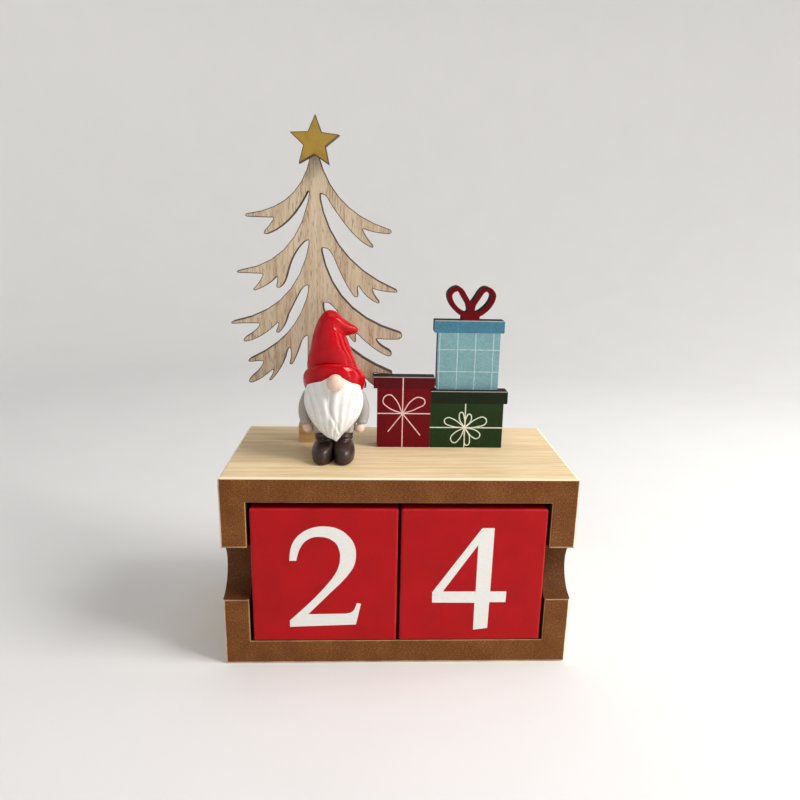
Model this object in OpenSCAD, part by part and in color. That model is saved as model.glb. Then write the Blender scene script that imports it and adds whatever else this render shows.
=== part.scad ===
// Block advent calendar: an open mitred case that holds two number cubes,
// with a tree, a gnome and a stack of gifts standing on its lid.
// X runs to the right, Y to the back and Z up; the origin is under the middle of the case.

/* [Number cubes] */
// Edge of each number cube
cube_a = 50; // [40:1:60]
// Radius of the sanded cube edges
cube_r = 0.9; // [0.3:0.1:2]
// Gap between the cubes and beside each of them
cube_gap = 1; // [0.5:0.1:2]
// Gap above the cubes
head_gap = 2; // [1:0.5:6]
// Gap behind the cubes
rear_gap = 0.5; // [0.3:0.1:2]

/* [Case] */
// Thickness of the four mitred boards
board_t = 9; // [7:0.5:12]
// Thickness of the back board
back_t = 9; // [4:0.5:12]
// Radius of the eased front and back edges of the boards
ease_r = 0.8; // [0.3:0.1:1.5]
// Radius of the outer corners of the case
corner_r = 1.5; // [0.5:0.1:2.5]
// Radius of the finger notch in the front edge of each side board
notch_r = 9.8; // [6:0.2:14]
// Diameter of the brads that pin the mitres
brad_d = 1.2; // [0.8:0.1:1.6]
// Length of the brads
brad_l = 18; // [12:1:25]
// Depth at which the brad heads lie under filler
brad_sink = 1; // [0.5:0.1:2]

/* [Tree] */
// Middle of the trunk, right of the middle of the case
tree_x = -30.8; // [-32:0.2:-28]
// Thickness of the tree panel
tree_t = 4; // [3:0.5:5]
// Gap between the gifts and the tree behind them
tree_gap = 1.5; // [1:0.1:4]
// Width of the trunk at the foot
trunk_w = 8; // [6:0.5:9]
// Width of the trunk at the star
tip_w = 3.2; // [2.5:0.1:4]
// Height of the tree up to the middle of the star
tree_h = 108.3; // [95:0.1:120]
// Radius of the branch tips
twig_r = 0.35; // [0.2:0.05:0.5]
// Radius of the hollows between the branches
crotch_r = 0.5; // [0.2:0.1:0.8]
// Width of the foot block
foot_w = 14; // [13.5:0.5:18]
// Height of the foot block
foot_h = 6.8; // [6:0.2:12]
// Wall of the foot block in front of and behind the trunk
foot_lip = 2.2; // [1.5:0.1:3]

/* [Star] */
// Distance from the middle of the star to its points
star_r = 8.9; // [7:0.1:11]
// Distance from the middle of the star to its inner corners
star_in_r = 4; // [3:0.1:5]
// Thickness of the star
star_t = 4; // [2:0.5:5]
// Turn of the star on the tree, in degrees
star_turn = -2; // [-10:1:10]
// Middle of the star, right of the middle of the trunk
star_x = 0.5; // [-1:0.1:1]

/* [Gifts] */
// Front of the gift panels, behind the middle of the case
gift_y = 3; // [0:0.5:6]
// Thickness of the gift panels
gift_t = 5.5; // [4:0.5:7]
// Left side of the red gift, right of the middle of the case
red_x = -7.9; // [-8:0.1:-5]
// Width of the red gift under its lid
red_w = 19.9; // [16:0.1:22]
// Height of the red lid
red_lid_h = 4.4; // [3:0.2:6]
// Width of the green gift under its lid
green_w = 27.5; // [26:0.5:34]
// Height of the green gift
green_h = 22; // [17:0.2:26]
// Height of the green lid
green_lid_h = 4.8; // [3:0.2:6]
// Width of the blue gift under its lid
blue_w = 23.2; // [18:0.2:24]
// Height of the blue gift
blue_h = 26; // [20:0.2:32]
// Height of the blue lid
blue_lid_h = 4.6; // [3:0.2:6]
// Distance of the blue gift behind the front of the green one
blue_back = 2.7; // [0:0.1:3]
// Overhang of the gift lids
lid_lip = 1.4; // [0.6:0.1:2]
// Radius of the gift corners
gift_r = 0.4; // [0.1:0.1:0.6]
// Gap between the red lid and the gifts beside it
lid_gap = 0.8; // [0.5:0.1:2]
// Width of the bow across its loops
bow_w = 17.9; // [14:0.1:22]
// Height of the bow
bow_h = 12.4; // [10:0.2:15]
// Width of the ribbon of the bow
ribbon_w = 1.8; // [1.4:0.1:2.4]

/* [Gnome] */
// Middle of the gnome, right of the middle of the case
gnome_x = -23.4; // [-26:0.2:-22]
// Middle of the gnome, behind the middle of the case
gnome_y = -5.5; // [-9:0.5:-5]
// Width of each boot
boot_w = 7.7; // [6:0.1:8.5]
// Length of each boot
boot_l = 16; // [13:0.2:18]
// Height of the boots
boot_h = 9.4; // [8:0.2:11]
// Width of the coat
coat_w = 15.4; // [13:0.2:16]
// Depth of the coat from the beard to the back
coat_d = 11; // [9:0.2:12]
// Height of the brim over the lid of the case, at the middle of the gnome
brim_z = 23.8; // [22.5:0.1:26]
// Rise of the brim towards the front, in degrees
brim_tilt = 31; // [17:1:35]
// Width of the brim
brim_w = 22.2; // [19:0.2:25]
// Height of the rolled brim
brim_h = 6.6; // [5:0.1:7.5]
// Height of the arch in the brim over the nose
arch_h = 2; // [0.5:0.1:3]
// Width of that arch
arch_w = 12; // [8:0.5:16]
// Width of the hat above its brim
hat_w = 17.6; // [15:0.2:18.5]
// Height of the hat above the foot of its brim
hat_h = 28.9; // [24:0.1:34]
// Width of the beard
beard_w = 21.2; // [17:0.2:24]
// Depth of the beard
beard_d = 7.2; // [5:0.2:9]
// Height of the tip of the beard over the lid of the case
beard_z = 7.8; // [7:0.1:10]
// Diameter of the nose
nose_d = 6; // [4.5:0.1:7]
// Diameter of the sleeves
sleeve_d = 4.7; // [4:0.1:5.5]
// Diameter of the hands
hand_d = 3.3; // [2.5:0.1:4]

/* [Fixing pins] */
// Diameter of the pins under the tree, the gifts and the gnome
pin_d = 1.6; // [1:0.1:1.8]
// Length of the pins
pin_l = 8; // [6:0.5:10]
// Clearance around pins, brads and the tree's tenon
fit = 0.05; // [0.02:0.01:0.1]
// Clearance between the painted pieces of the gnome
seam = 0.1; // [0.05:0.05:0.2]

/* [Hidden] */
$fn = 64;
inner_w = 2*cube_a + 3*cube_gap;
inner_h = cube_a + head_gap;
case_w = inner_w + 2*board_t;
case_h = inner_h + 2*board_t;
case_d = cube_a + rear_gap + back_t;
front_y = -case_d/2;
cube_x = (cube_a + cube_gap)/2;
cube_y = front_y + cube_a/2;
brad_y = case_d/4;

tree_y = gift_y + gift_t + tree_gap;
foot_d = tree_t + 2*foot_lip;
curve_steps = 7;
// The branches are drawn below for a tree 107.3 mm high
tree_scale = tree_h/107.3;
// Sides of a full round in the tree and the bow
round_n = 16;
// Growth of the drawn outline of the tree when its tips are rounded
twig_grow = 2/3*twig_r;

red_h = green_h + lid_gap + red_lid_h;
green_x = red_x + red_w;
blue_x = green_x + lid_lip + lid_gap;
blue_y = gift_y + blue_back;
bow_x = blue_x + 0.51*blue_w;
pin_y = gift_y + gift_t/2;
stack_pin_y = (blue_y + gift_y + gift_t)/2;

// Sides of each lofted ring of the gnome
ring_n = 28;
// Plane that parts the beard from the coat
part_y = -0.42*coat_d;
brim_rise = tan(brim_tilt);
hem_z = boot_h + seam;
coat_h = brim_z - hem_z;

wood_front = "#8a5a30";
wood_top = "#d6bd95";
cube_red = "#b01c26";
ply = "#c2a37e";
gold = "#a98a3c";
wine = "#6f151b";
pine = "#25401f";
sky = "#86a9ae";
hat_red = "#c40d1c";
beard_white = "#ecebe8";
skin = "#eccbb2";
coat_grey = "#8f8b88";
boot_brown = "#3f2c28";
steel = "#a8a8a8";

// Shared shapes

// Rectangle about the origin with round corners
module rounded_rect(w, h, r) {
    square([w - 2*r, h], center = true);
    square([w, h - 2*r], center = true);
    for (x = [-1, 1], y = [-1, 1])
        translate([x*(w/2 - r), y*(h/2 - r)])
            circle(r);
}

// Outline drawn in X and Z, made solid from y0 towards the back
module upright(y0, t) {
    translate([0, y0 + t, 0])
        rotate([90, 0, 0])
            linear_extrude(t)
                children();
}

// Points of a curve from a to b that is pulled towards c
function bend(a, c, b) = [for (i = [1:curve_steps]) let (t = i/curve_steps)
    (1 - t)*(1 - t)*a + 2*t*(1 - t)*c + t*t*b];

// Outline that starts at a point and follows [pull, end] pairs
function outline(start, turns) = concat([start], [for (i = [0:len(turns) - 1])
    each bend(i == 0 ? start : turns[i - 1][1], turns[i][0], turns[i][1])]);

// Solid skin over rings of equal length, with flat ends
module loft(rings) {
    n = len(rings[0]);
    m = len(rings);
    sides = [for (j = [0:m - 2], i = [0:n - 1]) let (a = j*n + i, b = j*n + (i + 1) % n)
        each [[a, b + n, b], [a, a + n, b + n]]];
    foot_cap = [for (i = [1:n - 2]) [0, i, i + 1]];
    head_cap = [for (i = [1:n - 2]) [(m - 1)*n, (m - 1)*n + i + 1, (m - 1)*n + i]];
    polyhedron([for (r = rings) each r], concat(sides, foot_cap, head_cap));
}

// Ring about c with the half axes u and v
function ring(c, u, v) = [for (i = [0:ring_n - 1]) c + u*cos(360*i/ring_n) + v*sin(360*i/ring_n)];

// Ring of a round limb at point i of a path, square to the path
function limb_ring(path, radii, i) =
    let (d = path[min(i + 1, len(path) - 1)] - path[max(i - 1, 0)],
        v = cross(d, [1, 0, 0]),
        u = cross(v, d))
    ring(path[i], -radii[i]*u/norm(u), radii[i]*v/norm(v));

// Case

module case_outline() {
    translate([0, case_h/2])
        rounded_rect(case_w, case_h, corner_r);
}

// Board along X with eased edges, its underside at z
module long_board(z) {
    translate([0, 0, z + board_t/2])
        rotate([90, 0, 90])
            linear_extrude(case_w, center = true)
                rounded_rect(case_d, board_t, ease_r);
}

// Board along Z with eased edges, its middle at x
module tall_board(x) {
    translate([x, 0, 0])
        linear_extrude(case_h)
            rounded_rect(board_t, case_d, ease_r);
}

// Half of the case's front outline that lies beyond both mitres on one side
module mitre(corners) {
    upright(-case_d/2, case_d)
        intersection() {
            case_outline();
            polygon(corners);
        }
}

// Brads through the mitres, along X
module brads(d, slack) {
    for (side = [-1, 1], y = [-brad_y, brad_y], z = [board_t/2, case_h - board_t/2])
        translate([side*(case_w/2 - brad_sink + slack), y, z])
            rotate([0, -side*90, 0])
                cylinder(brad_l + 2*slack, d = d, $fn = 24);
}

module brad_holes() {
    brads(brad_d + 2*fit, fit);
}

module top_board() {
    color(wood_top)
        difference() {
            intersection() {
                long_board(case_h - board_t);
                mitre([[-case_w/2, case_h], [case_w/2, case_h],
                    [inner_w/2, case_h - board_t], [-inner_w/2, case_h - board_t]]);
            }
            brad_holes();
            lid_pin_holes();
        }
}

module bottom_board() {
    color(wood_front)
        difference() {
            intersection() {
                long_board(0);
                mitre([[-case_w/2, 0], [case_w/2, 0], [inner_w/2, board_t], [-inner_w/2, board_t]]);
            }
            brad_holes();
        }
}

module side_board(side) {
    color(wood_front)
        difference() {
            intersection() {
                tall_board(side*(case_w - board_t)/2);
                mitre([[side*case_w/2, 0], [side*case_w/2, case_h],
                    [side*inner_w/2, case_h - board_t], [side*inner_w/2, board_t]]);
            }
            translate([side*(case_w - board_t)/2, front_y, case_h/2])
                rotate([0, 90, 0])
                    cylinder(board_t + 2, r = notch_r, center = true);
            brad_holes();
        }
}

module left_board() {
    side_board(-1);
}

module right_board() {
    side_board(1);
}

module back_board() {
    color(wood_front)
        translate([-inner_w/2, -front_y - back_t, board_t])
            cube([inner_w, back_t, inner_h]);
}

module corner_brads() {
    color(steel)
        brads(brad_d, 0);
}

// Number cubes

module number_cube(x) {
    color(cube_red)
        translate([x, cube_y, board_t + cube_a/2])
            intersection() {
                linear_extrude(cube_a, center = true)
                    rounded_rect(cube_a, cube_a, cube_r);
                rotate([90, 0, 0])
                    linear_extrude(cube_a, center = true)
                        rounded_rect(cube_a, cube_a, cube_r);
                rotate([0, 90, 0])
                    linear_extrude(cube_a, center = true)
                        rounded_rect(cube_a, cube_a, cube_r);
            }
}

module left_cube() {
    number_cube(-cube_x);
}

module right_cube() {
    number_cube(cube_x);
}

// Tree

// The branches from the top down, on the left and then on the right: a start on the trunk, then
// the upper edge, the round end of each twig and the hollow after it, and the edge back to the trunk.
// X is measured from the middle of the trunk and Y from the lid of the case.
left_branches = [
    [[-1, 103.5], [[[-4.6, 85.8], [-23.7, 83.4]], [[-24.6, 82.9], [-23.5, 82.7]],
        [[-18, 82.6], [-13.9, 82.6]], [[-15.2, 80.2], [-17.5, 77.9]], [[-18.3, 76.6], [-16.9, 76.9]],
        [[-7.4, 80.4], [-1.3, 94.2]]]],
    [[-0.9, 95.5], [[[-3.9, 67.2], [-27.4, 63.7]], [[-28.3, 63.2], [-26.9, 63.2]],
        [[-21.5, 63.1], [-18.4, 63]], [[-19.4, 60], [-21.9, 57.6]], [[-22.5, 56.9], [-21.6, 57.1]],
        [[-17, 58.6], [-13.5, 62.7]], [[-13.2, 60.6], [-13.9, 58.7]], [[-13.9, 57.9], [-12.8, 58.2]],
        [[-11, 59.6], [-9.9, 64.3]], [[-8.1, 70.6], [-4.2, 74.2]], [[-3, 75.2], [-1.5, 75.2]]]],
    [[-1.6, 75.5], [[[-5.6, 50.2], [-30.2, 45.3]], [[-31.2, 44.8], [-29.6, 44.9]],
        [[-24, 45.3], [-20, 45.1]], [[-21, 42.4], [-25.8, 39.6]], [[-27, 38.2], [-25.6, 38.4]],
        [[-19.4, 39.6], [-13.3, 46.3]], [[-13.2, 44.6], [-14.3, 42.5]], [[-14.7, 41.5], [-13.5, 41.9]],
        [[-11.4, 44], [-10.3, 48.2]], [[-8.9, 51], [-5.9, 56.7]], [[-4.4, 59.2], [-2, 59.4]]]],
    [[-1.9, 59.5], [[[-5.2, 40.2], [-24.3, 31.6]], [[-25.6, 30.8], [-24, 30.8]],
        [[-21.5, 31.2], [-19.2, 31.2]], [[-19.8, 28.2], [-24.3, 24.6]], [[-25.7, 22.6], [-23.8, 23]],
        [[-20.2, 24.2], [-15.6, 28.7]], [[-15.6, 26.4], [-17.3, 24.2]], [[-17.6, 23.6], [-16.8, 24]],
        [[-12.4, 28.8], [-11.2, 34.2]], [[-10.4, 36.4], [-9.5, 36.4]], [[-8.7, 34], [-9.6, 30.8]],
        [[-10, 29.7], [-9, 30.1]], [[-7.4, 33], [-6.1, 37.2]], [[-4.9, 41], [-2, 41.2]]]]];
right_branches = [
    [[1.1, 104], [[[5.8, 84.8], [26.4, 78.9]], [[27.6, 78.2], [26.2, 77.7]],
        [[21, 77.8], [16.3, 79.6]], [[17.4, 76.6], [20.2, 73.6]], [[21, 72.6], [19.7, 73]],
        [[14.8, 75.2], [9.6, 82.2]], [[6.6, 86], [4.9, 89]], [[4, 91], [1.4, 91.1]]]],
    [[1.3, 91], [[[5, 67.4], [29, 57.7]], [[30, 57], [28.7, 57.1]],
        [[24, 57.2], [20.1, 58.5]], [[20.6, 55.9], [22.7, 53.6]], [[23.3, 52.9], [22.4, 53.1]],
        [[18, 54.8], [15.2, 60.1]], [[14.7, 58], [15.2, 55.8]], [[15.1, 54.6], [13.9, 55.5]],
        [[11.2, 58.8], [7.8, 66.6]], [[6.4, 70.4], [4.8, 71.9]], [[4, 72.6], [1.5, 72.4]]]],
    [[1.8, 72.5], [[[5.9, 48.6], [30.7, 42]], [[32.4, 41], [30.5, 39.9]],
        [[26.5, 39.6], [21.7, 40.1]], [[22.4, 37.4], [26.5, 35.5]], [[28.9, 34], [26.7, 33.4]],
        [[21.6, 35.2], [14.9, 42]], [[14, 41], [14.3, 39]], [[14.4, 38.3], [13.8, 38.8]],
        [[10.4, 42.6], [8.1, 49.4]], [[7, 51.4], [4.8, 52.8]], [[3.6, 53.4], [1.5, 52.8]]]],
    [[2, 52], [[[7.2, 35], [27.7, 27.1]], [[28.6, 26.7], [27.4, 26.6]],
        [[23.5, 26.9], [20.7, 27.1]], [[21.2, 25], [23.6, 22.6]], [[24.6, 21.2], [22.8, 21.5]],
        [[20, 22.8], [17.2, 26.4]], [[17.4, 24], [18.3, 22]], [[18.5, 20.8], [17.5, 21.6]],
        [[14.5, 24.5], [12, 30]], [[11.5, 33.5], [7.5, 36.5]], [[5, 38.5], [1, 39]]]]];

// Branches grow with the tree, and the offsets round the hollows and then the tips
module tree_outline() {
    offset(r = twig_r, $fn = round_n)
        offset(r = twig_grow - twig_r - crotch_r, $fn = round_n)
            offset(delta = crotch_r) {
                polygon([[twig_grow - trunk_w/2, twig_grow], [trunk_w/2 - twig_grow, twig_grow],
                    [tip_w/2 - twig_grow, tree_h - twig_grow], [twig_grow - tip_w/2, tree_h - twig_grow]]);
                for (branch = concat(left_branches, right_branches))
                    polygon(tree_scale*outline(branch[0], branch[1]));
            }
}

module tree_panel() {
    color(ply)
        translate([tree_x, 0, case_h])
            upright(tree_y, tree_t)
                tree_outline();
}

module tree_star() {
    color(gold)
        translate([tree_x + star_x, 0, case_h + tree_h])
            upright(tree_y - star_t, star_t)
                rotate(star_turn)
                    polygon([for (i = [0:9]) let (r = i % 2 == 0 ? star_r : star_in_r, a = 90 + 36*i)
                        r*[cos(a), sin(a)]]);
}

// Block with round upright edges and a through slot for the trunk
module tree_foot() {
    color(wood_front)
        difference() {
            translate([tree_x, tree_y + tree_t/2, case_h])
                linear_extrude(foot_h)
                    rounded_rect(foot_w, foot_d, foot_lip/2);
            translate([tree_x - trunk_w/2 - fit, tree_y - fit, case_h - 1])
                cube([trunk_w + 2*fit, tree_t + 2*fit, foot_h + 2]);
            lid_pin_holes();
        }
}

// Gifts

// Front of a gift with its lid, from its lower left corner
module gift_outline(w, h, lid_h, left_lip, right_lip) {
    translate([w/2, h/2])
        rounded_rect(w, h, gift_r);
    translate([(w + right_lip - left_lip)/2, h - lid_h/2])
        rounded_rect(w + left_lip + right_lip, lid_h, gift_r);
}

module red_gift() {
    color(wine)
        difference() {
            translate([red_x, 0, case_h])
                upright(gift_y, gift_t)
                    gift_outline(red_w, red_h, red_lid_h, lid_lip, lid_lip);
            lid_pin_holes();
        }
}

module green_gift() {
    color(pine)
        difference() {
            translate([green_x, 0, case_h])
                upright(gift_y, gift_t)
                    gift_outline(green_w, green_h, green_lid_h, 0, lid_lip);
            lid_pin_holes();
            stack_pin_holes();
        }
}

module blue_gift() {
    color(sky)
        difference() {
            translate([blue_x, 0, case_h + green_h])
                upright(blue_y, gift_t)
                    gift_outline(blue_w, blue_h, blue_lid_h, lid_lip, lid_lip);
            stack_pin_holes();
        }
}

// One loop of the bow, in shares of its height and half its width
loop_start = [-0.06, 0.06];
loop_turns = [[[0.43, 0.055], [0.79, 0.37]], [[0.985, 0.55], [0.995, 0.72]], [[1, 0.81], [0.9, 0.885]],
    [[0.79, 0.985], [0.6, 1]], [[0.42, 1], [0.27, 0.83]], [[0.15, 0.68], [0.03, 0.55]],
    [[-0.08, 0.38], [-0.06, 0.06]]];

// Radius of the narrow ends of the hole in each loop
eye_r = ribbon_w/4;
// Width and height of the seat that joins the loops to the lid
seat = ribbon_w*[3.6, 0.65];

module bow_loop() {
    loop = [for (p = outline(loop_start, loop_turns)) [p[0]*bow_w/2, p[1]*bow_h]];
    difference() {
        polygon(loop);
        offset(r = eye_r, $fn = round_n)
            offset(delta = -ribbon_w - eye_r)
                polygon(loop);
    }
}

module gift_bow() {
    color(wine)
        translate([bow_x, 0, case_h + green_h + blue_h])
            upright(blue_y, gift_t)
                offset(r = -crotch_r, $fn = round_n)
                    offset(delta = crotch_r) {
                        bow_loop();
                        mirror([1, 0])
                            bow_loop();
                        translate([-seat[0]/2, 0])
                            square(seat);
                    }
}

// Fixing pins

lid_pins = concat(
    [for (side = [-1, 1]) [tree_x + side*(trunk_w + foot_w)/4, tree_y + tree_t/2]],
    [for (share = [0.25, 0.75]) [red_x + share*red_w, pin_y]],
    [for (share = [0.25, 0.75]) [green_x + share*green_w, pin_y]],
    [for (side = [-1, 1]) [gnome_x + side*boot_w/2, gnome_y]]);
stack_pins = [for (share = [0.25, 0.75]) [blue_x + share*blue_w, stack_pin_y]];

module pins(spots, z, d, l) {
    for (p = spots)
        translate([p[0], p[1], z - l/2])
            cylinder(l, d = d, $fn = 24);
}

module lid_pin_holes() {
    pins(lid_pins, case_h, pin_d + 2*fit, pin_l + 2*fit);
}

module stack_pin_holes() {
    pins(stack_pins, case_h + green_h, pin_d + 2*fit, pin_l + 2*fit);
}

module fixing_pins() {
    color(steel) {
        pins(lid_pins, case_h, pin_d, pin_l);
        pins(stack_pins, case_h + green_h, pin_d, pin_l);
    }
}

// Gnome, in a frame of its own on the lid of the case

module on_lid() {
    translate([gnome_x, gnome_y, case_h])
        children();
}

// Distance of the nose right of the middle of the gnome
nose_x = 0.18*nose_d;
nose_y = part_y - 0.9*beard_d;
nose_at = [nose_x, nose_y, brim_at(nose_y) + arch_h - 0.55*nose_d];

// Height of the foot of the brim at y, away from its arch
function brim_at(y) = brim_z - brim_rise*y;

// Arch over the nose, as points in X and Z
brim_arch = [for (i = [0:ring_n/2]) let (t = 2*i/ring_n)
    [nose_x + (t - 0.5)*arch_w, brim_z + arch_h*pow(sin(180*t), 2)]];

// Leans its children with the brim and lowers them
module lean(drop) {
    multmatrix([[1, 0, 0, 0], [0, 1, 0, 0], [0, -brim_rise, 1, -drop]])
        children();
}

// All that lies over the plane of the brim's foot
module over_brim(drop) {
    lean(drop)
        translate([-brim_w, -brim_w, brim_z])
            cube([2*brim_w, 2*brim_w, 2*hat_h]);
}

// The hollow of the arch, as far back as the coat
module under_arch(drop) {
    lean(drop)
        upright(-brim_w, brim_w + part_y)
            polygon(concat(brim_arch, [[nose_x, brim_z - arch_h]]));
}

// Outer and inner edge of the bent hat and half its depth, in shares of its width and height
hat_bend = [
    [[-0.54, 0.33], [0.44, 0.35], 0.51],
    [[-0.45, 0.58], [0.33, 0.54], 0.42],
    [[-0.39, 0.72], [0.27, 0.645], 0.37],
    [[-0.3, 0.86], [0.24, 0.67], 0.32],
    [[-0.16, 0.965], [0.24, 0.675], 0.28],
    [[-0.06, 0.99], [0.245, 0.68], 0.25],
    [[0.05, 0.965], [0.26, 0.68], 0.22],
    [[0.19, 0.89], [0.31, 0.69], 0.17],
    [[0.34, 0.825], [0.375, 0.7], 0.11],
    [[0.44, 0.79], [0.435, 0.715], 0.06],
    [[0.48, 0.755], [0.475, 0.735], 0.02]];

// Rolled brim, from under its foot to the crown: height and half width, in shares of both
brim_roll = [[-0.12, 0.43], [0.14, 0.49], [0.4, 0.5], [0.74, 0.5], [0.94, 0.468], [1.02, 0.42]];
// Depth of the brim as a share of its width
brim_deep = 1.06;
// Distance of the crown of the hat behind the middle of the gnome
crown_y = hat_w/18;

function brim_ring(rise, half) =
    ring([0, rise*sin(brim_tilt), brim_z + rise*cos(brim_tilt)], [half, 0, 0],
        half*brim_deep*[0, cos(brim_tilt), -sin(brim_tilt)]);

function hat_ring(bend, tilt) =
    let (a = [bend[0][0]*hat_w, crown_y, brim_z + bend[0][1]*hat_h],
        b = [bend[1][0]*hat_w, crown_y, brim_z + bend[1][1]*hat_h])
    ring((a + b)/2, (b - a)/2, bend[2]*hat_w*[0, cos(tilt), -sin(tilt)]);

module gnome_hat() {
    color(hat_red)
        on_lid()
            difference() {
                intersection() {
                    loft(concat([for (r = brim_roll) brim_ring(r[0]*brim_h, r[1]*brim_w)],
                        [for (i = [0:len(hat_bend) - 1]) hat_ring(hat_bend[i], brim_tilt/(1 + 2*i))]));
                    over_brim(0);
                }
                under_arch(0);
                nose_ball(seam);
            }
}

module nose_ball(room) {
    translate(nose_at)
        sphere(d = nose_d + 2*room);
}

module gnome_nose() {
    color(skin)
        on_lid()
            nose_ball(0);
}

// Distance of the tip of the beard right of its middle
beard_sway = beard_w/15;

// Half ring of the beard at a share t of the way to its tip, with its flat side to the coat
function beard_ring(t) =
    let (half = max(beard_w/2*(1 - pow(t, 4))*(1 - 0.12*pow(1 - t, 6)), 0.3),
        lift = 0.5*beard_d*pow(t, 4),
        deep = max(beard_d*(0.68 + 0.85*t - 1.37*pow(t, 4)), 0.8))
    [for (i = [0:ring_n]) let (a = 180*i/ring_n, strand = 1 + 0.02*cos(12*a + 90*t),
            y = part_y - seam/2 - lift - deep*strand*sin(a))
        [half*cos(a) + beard_sway*t*t, y, (1 - t)*(brim_at(y) + arch_h + seam) + t*beard_z]];

// The top of the beard follows the brim and fills its arch
module gnome_beard() {
    color(beard_white)
        on_lid()
            difference() {
                loft([for (t = [0, 0.15, 0.3, 0.45, 0.6, 0.7, 0.8, 0.87, 0.94, 1]) beard_ring(t)]);
                difference() {
                    over_brim(seam);
                    under_arch(seam);
                }
                nose_ball(seam);
            }
}

// Share of the coat's width at each share of its height
coat_sides = [[0, 1], [0.4, 1.01], [0.65, 0.97], [0.85, 0.85], [1, 0.68]];
// Distance from the coat's middle to its back
coat_back = 0.62*coat_d;

function coat_ring(t, share) = [for (i = [0:ring_n - 1])
    let (a = 360*i/ring_n,
        y = max(part_y + seam/2, part_y + coat_d + coat_back*(share*sin(a) - 1)))
    [coat_w/2*share*cos(a), y, (1 - t)*hem_z + t*(brim_at(y) - seam)]];

module gnome_coat() {
    color(coat_grey)
        on_lid()
            loft([for (s = coat_sides) coat_ring(s[0], s[1])]);
}

// Path of the right arm from under the brim to the finger tips
sleeve_r = sleeve_d/2;
arm_x = coat_w/2 + sleeve_r + 2*seam;
wrist = [arm_x + 0.04*sleeve_d, -0.38*sleeve_d, hem_z + 0.19*coat_h];
sleeve_path = concat([for (s = [[-0.34, 0.04, 1], [-0.17, 0.02, 0.82], [-0.02, -0.04, 0.62], [0, -0.15, 0.4]])
    [arm_x + s[0]*sleeve_d, s[1]*sleeve_d, hem_z + s[2]*coat_h]], [wrist + sleeve_d*[0, 0.05, 0.17], wrist]);
sleeve_radii = sleeve_r*[0.75, 0.88, 0.98, 1, 0.94, 0.9];
hand_path = [for (s = [[0, 0], [0.25, 0], [0.6, 0.1], [0.9, 0.16], [1.05, 0.18]])
    wrist - [s[1]*hand_d, 0.3*s[0]*hand_d, seam + s[0]*hand_d]];
hand_radii = hand_d/2*[0.75, 1, 1, 0.7, 0.3];

module limb(path, radii) {
    loft([for (i = [0:len(path) - 1]) limb_ring(path, radii, i)]);
}

module arm_side(side) {
    on_lid()
        mirror([side < 0 ? 1 : 0, 0, 0])
            children();
}

module sleeve() {
    difference() {
        limb(sleeve_path, sleeve_radii);
        over_brim(seam);
    }
}

module gnome_left_sleeve() {
    color(coat_grey)
        arm_side(-1)
            sleeve();
}

module gnome_right_sleeve() {
    color(coat_grey)
        arm_side(1)
            sleeve();
}

module gnome_left_hand() {
    color(skin)
        arm_side(-1)
            limb(hand_path, hand_radii);
}

module gnome_right_hand() {
    color(skin)
        arm_side(1)
            limb(hand_path, hand_radii);
}

// Share of the boot's height, width and length, from the sole to the top of the shaft
boot_rows = [[0, 0.88, 0.96], [0.06, 0.97, 1], [0.3, 1, 1], [0.45, 0.98, 0.97], [0.56, 0.93, 0.9],
    [0.64, 0.86, 0.78], [0.68, 0.82, 0.66], [0.72, 0.87, 0.58], [0.78, 0.9, 0.57], [0.82, 0.86, 0.56],
    [0.88, 0.9, 0.57], [0.94, 0.87, 0.56], [1, 0.88, 0.56]];
heel_y = 0.2*boot_l;

function boot_ring(row) =
    let (half = row[1]*(boot_w - seam)/2, long = row[2]*boot_l/2)
    ring([0, heel_y - long, row[0]*boot_h], [half, 0, 0], [0, long, 0]);

module boot(side) {
    color(boot_brown)
        difference() {
            on_lid()
                translate([side*boot_w/2, 0, 0])
                    loft([for (row = boot_rows) boot_ring(row)]);
            lid_pin_holes();
        }
}

module gnome_left_boot() {
    boot(-1);
}

module gnome_right_boot() {
    boot(1);
}

top_board();
bottom_board();
left_board();
right_board();
back_board();
corner_brads();
left_cube();
right_cube();
tree_panel();
tree_star();
tree_foot();
red_gift();
green_gift();
blue_gift();
gift_bow();
fixing_pins();
gnome_hat();
gnome_nose();
gnome_beard();
gnome_coat();
gnome_left_sleeve();
gnome_right_sleeve();
gnome_left_hand();
gnome_right_hand();
gnome_left_boot();
gnome_right_boot();
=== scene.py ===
"""Block advent calendar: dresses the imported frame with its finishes, numerals, prints and cast gnome."""

import math

import bmesh
import bpy
from bpy.props import FloatProperty, FloatVectorProperty, IntProperty, PointerProperty
from mathutils import Matrix, Vector


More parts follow.
